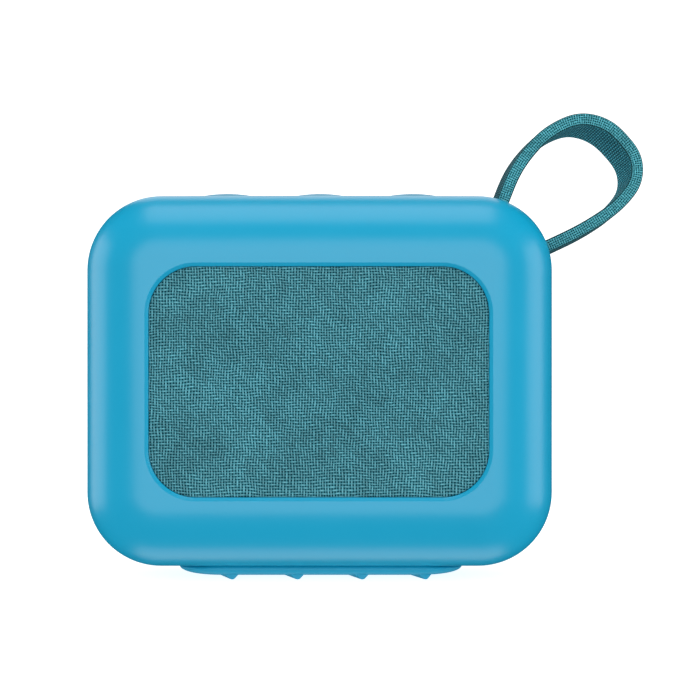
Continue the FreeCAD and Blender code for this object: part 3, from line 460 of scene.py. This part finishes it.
BLUE = (0.0004, 0.335, 0.552)
casing_paint = moulded("casing_plastic", BLUE, roughness=0.315, grain=0.6, depth=0.002, variation=0.02)
# The buttons' blue is the casing's made darker: painted shade for their domes' darker reflections.
button_paint = moulded("button_plastic", tinted(BLUE, 0.86), roughness=0.42, grain=0.3, depth=0.004,
                      specular=0.25)
rubber_paint = moulded("blue_rubber_skin", tinted(BLUE, 0.92), roughness=0.55, grain=0.25, depth=0.008,
                       specular=0.4)
# The darkest and middle colours of each weave below are its gaps' and flanks' painted shade.
cloth_paint = woven("grille_weave", (0.0004, 0.020, 0.031), (0.014, 0.145, 0.185),
                    (0.118, 0.350, 0.415), pitch=0.564)
strap_paint = woven("strap_weave", (0.0006, 0.018, 0.028), (0.016, 0.180, 0.220),
                    (0.110, 0.430, 0.500), pitch=0.47, uv_name="strap",
                    depth=0.14, wander=0.05, band_spans=STRAP_FACES)
symbol_paint = moulded("symbol_print", (0.62, 0.72, 0.75), roughness=0.5)
node_paints = {
    "casing_blue": casing_paint,
    "button_blue": button_paint,
    "blue_rubber": rubber_paint,
    "grille_cloth": cloth_paint,
    "strap_webbing": strap_paint,
    "black_plastic": moulded("black_moulding", (0.018, 0.018, 0.02), 0.5),
    "white_plastic": moulded("white_moulding", (0.72, 0.72, 0.70), 0.45),
    "switch_black": moulded("switch_moulding", (0.022, 0.022, 0.025), 0.32),
    "black_rubber": moulded("black_rubber_skin", (0.016, 0.016, 0.016), 0.6, depth=0.01),
    "black_foam": moulded("foam_skin", (0.03, 0.03, 0.03), 0.9, grain=0.8, depth=0.12, variation=0.3),
    "cone_paper": moulded("pressed_pulp", (0.025, 0.025, 0.027), 0.75, grain=0.6, depth=0.05, variation=0.2),
    "spider_cloth": moulded("resin_cloth", (0.42, 0.29, 0.10), 0.7, grain=0.5, depth=0.05, variation=0.2),
    "green_board": moulded("solder_mask", (0.012, 0.12, 0.045), 0.3, grain=1.6, depth=0.01, variation=0.25),
    "battery_film": moulded("battery_wrap", (0.45, 0.47, 0.50), 0.25, grain=4.0, depth=0.06, variation=0.1),
    "red_lead": moulded("red_insulation", (0.45, 0.015, 0.012), 0.4),
    "black_lead": moulded("black_insulation", (0.015, 0.015, 0.015), 0.4),
    "ferrite": moulded("ground_ferrite", (0.05, 0.05, 0.055), 0.55, grain=0.5, depth=0.02, variation=0.2),
    "clear_plastic": moulded("diffusing_plastic", (0.78, 0.80, 0.80), 0.3),
    "black_metal": metal("black_sheet", (0.03, 0.03, 0.033), 0.5),
    "black_steel": metal("black_oxide_steel", (0.05, 0.05, 0.055), 0.38),
    "zinc_steel": metal("plated_steel", (0.60, 0.61, 0.63), 0.3),
    "copper": metal("copper_wire", (0.72, 0.34, 0.17), 0.3),
}


def paint_cad_nodes():
    """Gives each CAD node the procedural material of its slot."""
    slots = {row["node"]: row["material_slot"] for row in frame["record"]["subparts"]}
    for name, obj in nodes.items():
        obj.data.materials.clear()
        obj.data.materials.append(node_paints[slots[name]].material)


paint_cad_nodes()


# ---------------------------------------------------------------- camera, floor and light

CAMERA_DISTANCE, CAMERA_RIGHT, CAMERA_UP = 450.0, 6.16, 6.31
VIEW_WIDTH, VIEW_DISTANCE, SENSOR = 142.45, 442.0, 36.0


def make_camera():
    camera = bpy.data.cameras.new("camera")
    camera.sensor_width = SENSOR
    camera.lens = SENSOR * VIEW_DISTANCE / VIEW_WIDTH
    camera.clip_start, camera.clip_end = 0.01, 30
    obj = link(bpy.data.objects.new("camera", camera))
    obj.location = Vector((CAMERA_RIGHT, -CAMERA_DISTANCE, MID_Z + CAMERA_UP)) * MM
    obj.rotation_euler = (math.pi / 2, 0, 0)
    bpy.context.scene.camera = obj


def softbox(name, location, size, radiance, shape="RECTANGLE"):
    """An area light aimed at the speaker, whose face shines with a radiance. Sizes are in metres."""
    target = Vector((0.0, 0.0, 0.04))
    light = bpy.data.lights.new(name, "AREA")
    light.shape = shape
    light.size, light.size_y = size
    area = size[0] * size[1] * (math.pi / 4 if shape == "ELLIPSE" else 1.0)
    light.energy = radiance * area * math.pi
    obj = link(bpy.data.objects.new(name, light))
    obj.location = location
    obj.rotation_euler = (target - Vector(location)).to_track_quat("-Z", "Y").to_euler()
    obj.visible_camera = False


def make_lights():
    softbox("front_box", (0.0, -1.25, 0.215), (1.38, 1.12), 2.05, shape="ELLIPSE")
    softbox("top_box", (0.0, -0.04, 1.00), (0.66, 0.76), 1.9)
    softbox("left_box", (-0.95, 0.24, 0.15), (0.80, 0.80), 1.75)
    softbox("right_box", (1.00, -0.02, 0.15), (0.72, 0.80), 1.9)
    softbox("back_box", (0.0, 1.30, 0.82), (0.85, 0.86), 1.15)
    softbox("under_box", (0.0, 0.17, -0.80), (0.80, 0.52), 1.5)


def make_world():
    world = bpy.data.worlds.new("studio")
    bpy.context.scene.world = world
    world.use_nodes = True
    background = world.node_tree.nodes["Background"]
    background.inputs["Color"].default_value = (1.0, 1.0, 1.0, 1)
    background.inputs["Strength"].default_value = 0.66
    world.cycles_visibility.glossy = False


def studio_paint():
    """White paper that glows, a little less close to the speaker, so that its shadow shows there."""
    paint = Paint("studio_paper")
    position = paint.split(paint.object_place())
    squares = [paint.math("MULTIPLY", position[i], position[i]) for i in (0, 1)]
    distance = paint.math("SQRT", paint.math("ADD", *squares))
    paint.set(Base_Color=(0.5, 0.5, 0.5, 1), Roughness=0.9,
              Emission_Strength=paint.span(distance, 0.86, 1.05, 0.06, 0.5))
    paint.shader.inputs["Specular IOR Level"].default_value = 0.0
    paint.shader.inputs["Emission Color"].default_value = (1, 1, 1, 1)
    return paint


def make_studio():
    """A white floor that curves up into a dome all round. Only the camera sees it."""
    floor_radius, dome_radius, height = 3000.0, 5000.0, 4000.0
    profile = [(1.0, 0.0), (60.0, 0.0), (500.0, 0.0), (floor_radius, 0.0)]
    bend = dome_radius - floor_radius
    profile += [(floor_radius + bend * sine, bend * share) for share, sine in quarter(8)[1:]]
    profile += [(dome_radius * (1 - share) + 1.0, bend + height * sine) for share, sine in quarter(8)[1:]]
    steps = 64
    angles = [2 * math.pi * i / steps for i in range(steps)]
    rings = [[(radius * math.cos(angle), radius * math.sin(angle), z) for angle in angles]
             for radius, z in profile]
    studio = lofted("studio", rings, studio_paint().material)
    shade(studio, 60, weighted=False)
    studio.visible_diffuse = False
    studio.visible_glossy = False
    studio.visible_shadow = False


bpy.context.scene.view_settings.view_transform = "Standard"
make_camera()
make_lights()
make_world()
make_studio()


# ---------------------------------------------------------------- casing

CORNER_STEPS, SIDE_STEPS = 24, (24, 18)


def rise(x):
    """How far the casing's slightly curved top stands above TOP_Z."""
    return CROWN * (1 - (x / HALF_X) ** 2)


def casing_ring(inset, y):
    outline = rounded_outline(HALF_X - inset, HALF_Z - inset, CORNER - inset, CORNER_STEPS, SIDE_STEPS)
    fade = 15.0
    outline = [(a, b + rise(a) * min(1.0, max(0.0, b / fade))) for a, b in outline]
    return facing_y(outline, y, z=MID_Z)


def opening_ring(grow, y):
    outline = rounded_outline(OPENING_X + grow, OPENING_Z + grow, OPENING_CORNER + grow, CORNER_STEPS,
                              SIDE_STEPS)
    return facing_y(outline, y, z=MID_Z)


def spaced(start, end, count):
    return [start + (end - start) * i / count for i in range(1, count)]


def front_rings():
    """Round the wall's section: parting edge, side, front round, rim, opening, and back inside."""
    side_front = FRONT_Y + FRONT_ROUND
    rings = [casing_ring(GROOVE * (1 - sine), SPLIT_Y - GROOVE * cosine) for cosine, sine in quarter(4)]
    rings += [casing_ring(0.0, y) for y in spaced(SPLIT_Y - GROOVE, side_front, 10)]
    rings += [casing_ring(FRONT_ROUND * share, side_front - FRONT_ROUND * sine)
              for share, sine in quarter(30)]
    rings += [opening_ring(grow, FRONT_Y + depth) for grow, depth in RIM_PROFILE]
    inner_round = FRONT_ROUND - WALL
    inner_y = FRONT_Y + WALL
    rings.append(opening_ring(0.0, inner_y))
    rings += [casing_ring(WALL + inner_round * share, side_front - inner_round * sine)
              for share, sine in reversed(quarter(12))]
    rings += [casing_ring(WALL, y) for y in spaced(side_front, SPLIT_Y, 4)]
    rings.append(casing_ring(WALL, SPLIT_Y))
    return rings


def flared_well(x, y, radius, flare, depth):
    """A tool for a round hole down through the top, with a rounded mouth."""
    mouth = TOP_Z + rise(x) + CLEAR
    profile = [(radius, mouth - depth)]
    profile += [(radius + flare * share, mouth - flare + flare * sine) for share, sine in quarter(5)]
    profile.append((radius + flare, mouth + 2))
    return turned("well", profile, x, y, steps=96)


def slot_tool(exit_point, beyond):
    """A tool for a strap slot, along the line that the strap leaves by."""
    start, end = Vector(exit_point), Vector(beyond)
    along = (end - start).normalized()
    normal = Vector((-along.y, along.x))
    half = STRAP_THICKNESS / 2 + SLOT_GAP
    reach_in, reach_out = 5.0, 6.0
    outline = rounded_outline(half, STRAP_WIDTH / 2 + SLOT_GAP, half * 0.6, 5)
    rings = []
    for distance in (-reach_in, reach_out):
        centre = start + along * distance
        rings.append([(centre.x + normal.x * a, b, MID_Z + centre.y + normal.y * a) for a, b in outline])
    return lofted("slot", rings)


# Where the strap crosses the casing's surface, and the corners of its loop, as x and height above MID_Z.
STRAP_TOP, STRAP_SIDE = (37.46, 36.61), (46.53, 27.59)
STRAP_MIDDLE = (Vector(STRAP_TOP) + Vector(STRAP_SIDE)) / 2
STRAP_CORNERS = [(40.2, 43.7), (46.1, 50.6), (53.0, 53.9), (59.2, 52.3), (64.8, 45.9), (64.8, 40.4),
                 (60.4, 35.3), (53.6, 30.9)]
BUTTONS = ("volume_down", "play", "volume_up")
button_centres = {name: middle(name + "_button") for name in BUTTONS}
BUTTON_RADIUS, BUTTON_GAP = 6.75, 0.1


def at_corners(x, z):
    return [(sx * x, MID_Z + sz * z) for sx in (-1, 1) for sz in (-1, 1)]


def front_casing():
    piece = lofted("front_casing", front_rings(), casing_paint.material, closed=True)
    bosses = [turned("boss", [(BOSS_RADIUS, FRONT_Y + 3.5), (BOSS_RADIUS, SPLIT_Y - 0.05)], x, z,
                     along_y=True, steps=32) for x, z in at_corners(SCREW_X, SCREW_Z)]
    combine(piece, "UNION", bosses)
    wells = [flared_well(centre.x, centre.y, BUTTON_RADIUS + BUTTON_GAP, 0.3, 4.0)
             for centre in button_centres.values()]
    slots = [slot_tool(STRAP_TOP, STRAP_CORNERS[0]), slot_tool(STRAP_SIDE, STRAP_CORNERS[-1])]
    combine(piece, "DIFFERENCE", wells + slots)
    shade(piece, 32)
    finish_piece(piece, "casing", ["front_shell"])


def rear_rings():
    """The outer skin's rings from the parting line back, and the inner skin's from the floor forward."""
    inner_round, inner_y = BACK_ROUND - WALL, BACK_Y - WALL
    first = math.degrees(math.asin(GROOVE / BACK_ROUND))
    outer = [casing_ring(GROOVE * share, SPLIT_Y + GROOVE * (1 - sine))
             for share, sine in reversed(quarter(4))]
    outer += [casing_ring(BACK_ROUND * share, SPLIT_Y + BACK_ROUND * sine)
              for share, sine in quarter(24, first)[1:]]
    inner = [casing_ring(WALL + inner_round * share, inner_y - inner_round + inner_round * sine)
             for share, sine in reversed(quarter(10))]
    return outer, inner


PORT = middle("usb_port")
COVER_LOW, COVER_HIGH = place("port_cover")
POWER = middle("power_button")
LIGHT = middle("light_pipe")
ANCHOR_LOW, ANCHOR_HIGH = place("port_cover_anchor")
GAP = 0.2                                      # between the port cover and its recess


def back_hole(x, z, radius, flare, depth):
    """A tool for a round hole in the back, with a rounded mouth."""
    mouth = BACK_Y + CLEAR
    profile = [(radius, mouth - depth)]
    profile += [(radius + flare * share, mouth - flare + flare * sine) for share, sine in quarter(4)]
    profile.append((radius + flare, mouth + 2))
    return turned("hole", profile, x, z, along_y=True, steps=64)


def cover_recess():
    """A tool for the port cover's recess, with a rounded mouth."""
    half_x = (COVER_HIGH.x - COVER_LOW.x) / 2 + GAP
    half_z = (COVER_HIGH.z - COVER_LOW.z) / 2 + GAP
    centre = (COVER_LOW + COVER_HIGH) / 2
    mouth, flare, corner, floor_y = BACK_Y + CLEAR, 0.25, 2.0, 19.5

    def ring(grow, y):
        outline = rounded_outline(half_x + grow, half_z + grow, corner + grow, 8)
        return facing_y(outline, y, centre.x, centre.z)

    rings = [ring(0.0, floor_y)]
    rings += [ring(flare * share, mouth - flare + flare * sine) for share, sine in quarter(4)]
    rings.append(ring(flare, mouth + 2))
    return lofted("recess", rings)


def rear_shell_piece():
    """The back pan: outer skin, flat back, inner skin and the parting face between them."""
    outer, inner = rear_rings()
    count = len(outer[0])
    points, faces = bridge(outer, caps=False)
    faces.append(tuple((len(outer) - 1) * count + i for i in range(count)))
    start = len(points)
    inner_points, inner_faces = bridge(inner, caps=False)
    points += inner_points
    faces += [tuple(start + i for i in face) for face in inner_faces]
    faces.append(tuple(start + i for i in reversed(range(count))))
    last = start + (len(inner) - 1) * count
    for i in range(count):
        j = (i + 1) % count
        faces.append((i, j, last + j, last + i))
    piece = make_piece("rear_casing", points, faces, casing_paint.material)
    pillars = [turned("pillar", [(PILLAR_RADIUS, SPLIT_Y), (PILLAR_RADIUS, BACK_Y - 1.4)], x, z,
                      along_y=True, steps=48) for x, z in at_corners(SCREW_X, SCREW_Z)]
    backing = block("backing", (COVER_LOW.x - 2, 17.6, COVER_LOW.z - 4),
                    (COVER_HIGH.x + 2, BACK_Y - 1, COVER_HIGH.z + 4))
    combine(piece, "UNION", pillars + [backing])
    holes = [back_hole(x, z, SCREW_WELL_RADIUS, 0.25, 4.5) for x, z in at_corners(SCREW_X, SCREW_Z)]
    holes += [turned("bore", [(SCREW_BORE_RADIUS, SPLIT_Y - 1), (SCREW_BORE_RADIUS, BACK_Y)], x, z,
                     along_y=True, steps=24) for x, z in at_corners(SCREW_X, SCREW_Z)]
    holes.append(back_hole(POWER.x, POWER.z, 3.6, 0.25, 4.0))
    holes.append(back_hole(LIGHT.x, LIGHT.z, 0.85, 0.12, 4.0))
    holes.append(cover_recess())
    port_outline = rounded_outline(4.67, 1.8, 1.79, 10)
    holes.append(lofted("port_hole", [facing_y(port_outline, y, PORT.x, PORT.z) for y in (16.0, BACK_Y)]))
    holes.append(turned("notch", [(3.2, 20.15), (3.2, BACK_Y + 1)], PORT.x, COVER_HIGH.z,
                        along_y=True, steps=48))
    slack = 0.05
    holes.append(block("anchor_slot", (ANCHOR_LOW.x - slack, ANCHOR_LOW.y - slack, ANCHOR_LOW.z - slack),
                       (ANCHOR_HIGH.x + slack, BACK_Y + 1, ANCHOR_HIGH.z + slack + 0.3)))
    combine(piece, "DIFFERENCE", holes)
    shade(piece, 32)
    finish_piece(piece, "casing", ["rear_shell"])


front_casing()
rear_shell_piece()


# ---------------------------------------------------------------- grille cloth

def grille():
    """The cloth, stretched over the mesh, with its edge tucked back all round."""
    low, high = place("grille_cloth")
    gap, tuck, least_corner = 0.02, 0.12, 0.5
    half_x, half_z, corner = OPENING_X - gap, OPENING_Z - gap, OPENING_CORNER - gap
    front_y, edge_y = low.y + 0.04, high.y - 0.02

    def ring(inset, y):
        outline = rounded_outline(half_x - inset, half_z - inset, max(corner - inset, least_corner), 12,
                                  (40, 26))
        return facing_y(outline, y, z=MID_Z)

    rings = [ring(0.3, high.y), ring(0.0, edge_y)]
    rings += [ring(tuck * share, edge_y - (edge_y - front_y) * sine) for share, sine in quarter(6)[1:]]
    rings += [ring(inset, front_y) for inset in (0.9, 1.5, 2.5, 4.0, 6.0, 8.5)]
    piece = lofted("grille_cloth_sheet", rings, cloth_paint.material)
    shade(piece, 60, weighted=False)
    finish_piece(piece, "casing", ["grille_cloth"])


grille()


# ---------------------------------------------------------------- buttons

def dome_height(radius):
    """Height of a button's dome above TOP_Z, at a radius from its middle."""
    crown, edge = 0.77, 0.3
    ball = (BUTTON_RADIUS ** 2 + crown ** 2) / (2 * crown)
    return edge + crown - ball + math.sqrt(ball ** 2 - radius ** 2)


def sunk_shape(name, outline, x, y):
    """A tool for a symbol sunk into the dome's middle, a little narrower at its floor."""
    top = TOP_Z + dome_height(0)
    centre_a = sum(a for a, b in outline) / len(outline)
    centre_b = sum(b for a, b in outline) / len(outline)

    def ring(scale, z):
        points = [(centre_a + (a - centre_a) * scale, centre_b + (b - centre_b) * scale)
                  for a, b in outline]
        return facing_z(points, z, x, y)

    return lofted(name, [ring(0.97, top - 0.24), ring(1.0, top - 0.2), ring(1.0, top + 0.5)])


def symbol_outlines(name):
    """The outlines of a button's symbol, round the button's centre."""
    bar = rounded_outline(1.9, 0.35, 0.34, 5)
    if name == "volume_down":
        return [bar]
    if name == "volume_up":
        return [bar, [(b, a) for a, b in reversed(bar)]]
    triangle = [(-1.9, -1.35), (0.25, -0.1), (0.25, 0.1), (-1.9, 1.35)]
    bars = [[(shift + a, b) for a, b in rounded_outline(0.28, 1.3, 0.27, 5)] for shift in (0.95, 1.85)]
    return [triangle] + bars


def top_key(name):
    """A domed button with a rounded edge and a sunk symbol."""
    centre = button_centres[name]
    edge, pole, steps = 0.25, 0.01, 14
    dome_radius = BUTTON_RADIUS - edge
    base_z = place(name + "_button")[0].z + 1.4
    rim_z = TOP_Z + dome_height(dome_radius) - edge
    profile = [(pole, base_z), (BUTTON_RADIUS, base_z)]
    profile += [(BUTTON_RADIUS - edge * share, rim_z + edge * sine) for share, sine in quarter(5)]
    for step in range(1, steps + 1):
        radius = dome_radius * (1 - step / steps)
        profile.append((radius + pole, TOP_Z + dome_height(radius)))
    piece = turned(name + "_key", profile, centre.x, centre.y, material=button_paint.material, steps=96)
    for outline in symbol_outlines(name):
        combine(piece, "DIFFERENCE", [sunk_shape("symbol", outline, centre.x, centre.y)])
    shade(piece, 30)
    finish_piece(piece, name + "_key", [name + "_button"])


for key_name in BUTTONS:
    top_key(key_name)


# ---------------------------------------------------------------- foot

def foot():
    """A soft-edged pad, widest below its top, with four oblique grip ribs."""
    low, high = place("foot_pad")
    half_x, half_y = (high.x - low.x) / 2 + 0.3, (high.y - low.y) / 2
    centre_x, mid_y = 0.15, (low.y + high.y) / 2
    widest_z, pad_z = BOTTOM_Z - 0.55, low.z + 0.86
    taper_x, taper_y, corner, corner_loss = 4.5, 1.5, 8.0, 3.0

    def ring(share, z, corner_steps=14, side_steps=(20, 6)):
        outline = rounded_outline(half_x - taper_x * share, half_y - taper_y * share,
                                  corner - corner_loss * share, corner_steps, side_steps)
        return facing_z(outline, z, centre_x, mid_y)

    rings = [ring(0.30, BOTTOM_Z + 0.15), ring(0.24, BOTTOM_Z), ring(0.12, BOTTOM_Z - 0.2),
             ring(0.04, BOTTOM_Z - 0.36)]
    rings += [ring(share, pad_z + (widest_z - pad_z) * (1 - sine)) for share, sine in quarter(12)]
    pad = lofted("foot_rubber", rings, rubber_paint.material)
    # A rib's section, from its long left slope over its rounded tip to its steeper right side.
    tip, root = low.z, pad_z + 0.25
    section = [(-1.5, root), (-0.30, tip + 0.12), (-0.18, tip + 0.03), (-0.03, tip),
               (0.25, tip), (0.45, tip + 0.06), (0.62, tip + 0.18), (1.50, root)]
    lean, run = 0.30, high.y - low.y
    ridges = []
    for start_x in (-17.6, -4.3, 8.83, 21.7):
        rings = [[(start_x + x - lean * step, low.y + step, z) for x, z in section]
                 for step in (0.0, run)]
        ridge = lofted("ridge", rings)
        room = lofted("room", [ring(0.56, z, 11, (17, 5)) for z in (tip - 1, pad_z + 1)])
        ridges.append(combine(ridge, "INTERSECT", [room]))
    combine(pad, "UNION", ridges)
    shade(pad, 30)
    finish_piece(pad, "casing", ["foot_pad"])


foot()


# ---------------------------------------------------------------- back: power button and port cover

def power_key():
    """A round rubber button that stands just proud of the back, with a printed standby symbol."""
    low, high = place("power_button")
    radius, edge = 3.5, 0.25
    profile = [(0.01, low.y + 3.0), (radius, low.y + 3.0)]
    profile += [(radius - edge * share, high.y - edge + edge * sine) for share, sine in quarter(5)]
    profile += [(radius * 0.7, high.y + 0.03), (0.01, high.y + 0.05)]
    piece = turned("power_key", profile, POWER.x, POWER.z, along_y=True, material=rubber_paint.material)
    shade(piece, 30)
    finish_piece(piece, "power_key", ["power_button"])
    radius, line = 1.25, 0.17
    foot_y, shoulder_y, crest_y = high.y - 0.1, high.y + 0.09, high.y + 0.12
    section = [(radius - line, foot_y), (radius - line, shoulder_y), (radius, crest_y),
               (radius + line, shoulder_y), (radius + line, foot_y)]
    arc = [math.radians(125 + 290 * i / 40) for i in range(41)]
    rings = [[(POWER.x + out * math.cos(angle), y, POWER.z + out * math.sin(angle)) for out, y in section]
             for angle in arc]
    mark = lofted("power_mark", rings, symbol_paint.material)
    bar = block("bar", (POWER.x - line, foot_y, POWER.z + 0.35),
                (POWER.x + line, crest_y, POWER.z + 1.75), edge=0.04)
    combine(mark, "UNION", [bar])
    shade(mark, 30)
    finish_piece(mark, "power_key")


def port_flap():
    """Flap, thin hinge web and anchor in one rubber piece."""
    web_half_x, web_half_y, overlap = 4.6, 0.2, 0.3
    bend_low, bend_high = ANCHOR_HIGH.z - 0.01, COVER_LOW.z + 0.01
    centre = (COVER_LOW + COVER_HIGH) / 2
    half_x, half_z = (COVER_HIGH.x - COVER_LOW.x) / 2, (COVER_HIGH.z - COVER_LOW.z) / 2
    inner_y, outer_y, edge = COVER_HIGH.y - 1.3, COVER_HIGH.y, 0.3

    def ring(inset, y):
        outline = rounded_outline(half_x - inset, half_z - inset, 1.8 - inset, 8, (6, 3))
        return facing_y(outline, y, centre.x, centre.z)

    rings = [ring(0.15, inner_y), ring(0.0, inner_y + 0.15), ring(0.0, outer_y - edge)]
    rings += [ring(edge * share, outer_y - edge + edge * sine) for share, sine in quarter(5)[1:]]
    piece = lofted("port_flap", rings, rubber_paint.material)
    nub_outline = rounded_outline(3.8, 0.8, 0.79, 8)
    nub = lofted("nub", [facing_y(nub_outline, y, PORT.x, PORT.z) for y in (inner_y - 0.7, inner_y + 0.3)])
    lip = block("lip", (centre.x - 2.6, outer_y - 0.3, COVER_HIGH.z - 1.5),
                (centre.x + 2.6, outer_y + 0.28, COVER_HIGH.z - 0.9), edge=0.2)
    heights = [bend_low + (bend_high - bend_low) * i / 6 for i in range(7)]
    heights = [bend_low - overlap] + heights + [bend_high + overlap]
    web_outline = rounded_outline(web_half_x, web_half_y, 0.15, 3, (12, 1))
    web = lofted("web", [facing_z(web_outline, z, centre.x, outer_y - 0.25) for z in heights])
    anchor = block("anchor", ANCHOR_LOW, ANCHOR_HIGH, edge=0.2)
    for tools in ([nub, lip], [web], [anchor]):
        combine(piece, "UNION", tools)
    shade(piece, 30)
    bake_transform(piece)
    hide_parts("port_cover", "port_cover_anchor")


power_key()
port_flap()


# ---------------------------------------------------------------- carry strap

def meeting(a, b, c, d):
    """Where the line through a and b meets the line through c and d."""
    a, b, c, d = map(Vector, (a, b, c, d))
    first, second = b - a, d - c
    share = (c - a).cross(second) / first.cross(second)
    return a + first * share


def rounded_loop(corners, radii, spacing):
    """Points along a closed loop of straight runs and tangent arcs."""
    count = len(corners)
    points = []
    for i in range(count):
        before, corner, after = corners[i - 1], corners[i], corners[(i + 1) % count]
        into, out = (corner - before).normalized(), (after - corner).normalized()
        turn = into.angle(out)
        reach = radii[i] * math.tan(turn / 2)
        centre = corner + (out - into).normalized() * (radii[i] / math.cos(turn / 2))
        start = corner - into * reach - centre
        steps = max(4, int(radii[i] * turn / spacing))
        sign = 1 if into.cross(out) > 0 else -1
        for step in range(steps + 1):
            angle = sign * turn * step / steps
            rotated = Vector((start.x * math.cos(angle) - start.y * math.sin(angle),
                              start.x * math.sin(angle) + start.y * math.cos(angle)))
            points.append(centre + rotated)
    return points


def evenly(points, count):
    """The closed loop resampled to count points at equal spacing."""
    closed = points + points[:1]
    lengths = [0.0]
    for a, b in zip(closed, closed[1:]):
        lengths.append(lengths[-1] + (b - a).length)
    result, index = [], 0
    for i in range(count):
        target = lengths[-1] * i / count
        while lengths[index + 1] < target:
            index += 1
        share = (target - lengths[index]) / max(lengths[index + 1] - lengths[index], 1e-9)
        result.append(closed[index].lerp(closed[index + 1], share))
    return result, lengths[-1]


def strap_centreline(count):
    """The strap's closed centreline in the plane of the front, from its inner turn outwards."""
    share = 0.45
    inner = meeting(STRAP_CORNERS[0], STRAP_TOP, STRAP_CORNERS[-1], STRAP_SIDE)
    corners = [inner] + [Vector(c) for c in STRAP_CORNERS]
    radii = [2.9 + STRAP_THICKNESS / 2]
    for before, corner, after in zip(corners, corners[1:], corners[2:] + corners[:1]):
        turn = (corner - before).angle(after - corner)
        radii.append(share * min((corner - before).length, (after - corner).length) / math.tan(turn / 2))
    points, length = evenly(rounded_loop(corners, radii, 0.3), count)
    for _ in range(36):
        points = [(points[i - 1] + points[i] * 2 + points[(i + 1) % count]) / 4 for i in range(count)]
    regrow = 1.007                             # makes up for what the smoothing takes off the loop
    points = [STRAP_MIDDLE + (point - STRAP_MIDDLE) * regrow for point in points]
    return points, length


def strap():
    """One woven band all round the loop, which leans back a little where it is furthest out."""
    count = 300
    centre, length = strap_centreline(count)
    section = rounded_outline(STRAP_HALF_X, STRAP_HALF_Y, STRAP_EDGE, 4, (4, 14))
    distances = [0.0]
    for (a, b), (c, d) in zip(section, section[1:] + section[:1]):
        distances.append(distances[-1] + math.hypot(c - a, d - b))
    outward = Vector((STRAP_TOP[1] - STRAP_SIDE[1], STRAP_SIDE[0] - STRAP_TOP[0])).normalized()
    reach = max((p - STRAP_MIDDLE).dot(outward) for p in centre)
    lean_total, spread = 2.25, 0.5
    across = Vector((outward.y, -outward.x))
    points, faces, uvs = [], [], []
    size = len(section)
    for i in range(count):
        tangent = (centre[(i + 1) % count] - centre[i - 1]).normalized()
        normal = Vector((-tangent.y, tangent.x))
        out_share = max(0.0, (centre[i] - STRAP_MIDDLE).dot(outward) / reach)
        lean = lean_total * out_share ** 1.3
        side = math.copysign(spread * (1 - out_share), (centre[i] - STRAP_MIDDLE).cross(outward))
        for a, b in section:
            back = (b + STRAP_HALF_Y) / STRAP_WIDTH
            spot = centre[i] + normal * a - outward * (lean * back) + across * (side * back)
            points.append((spot.x, b, MID_Z + spot.y))
    for i in range(count):
        for k in range(size):
            j, m = (i + 1) % count, (k + 1) % size
            faces.append((i * size + k, j * size + k, j * size + m, i * size + m))
            u0, u1 = length * i / count, length * (i + 1) / count
            v0, v1 = distances[k], distances[k + 1]
            uvs.append(((u0, v0), (u1, v0), (u1, v1), (u0, v1)))
    mesh = bpy.data.meshes.new("carry_strap_band")
    mesh.from_pydata([Vector(p) * MM for p in points], [], faces)
    layer = mesh.uv_layers.new(name="strap")
    for polygon, corners in zip(mesh.polygons, uvs):
        for loop, uv in zip(polygon.loop_indices, corners):
            layer.data[loop].uv = Vector(uv) * MM
    mesh.materials.append(strap_paint.material)
    piece = link(bpy.data.objects.new("carry_strap_band", mesh))
    shade(piece, 70, weighted=False)
    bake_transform(piece)
    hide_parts("strap_loop", "strap_root")


strap()
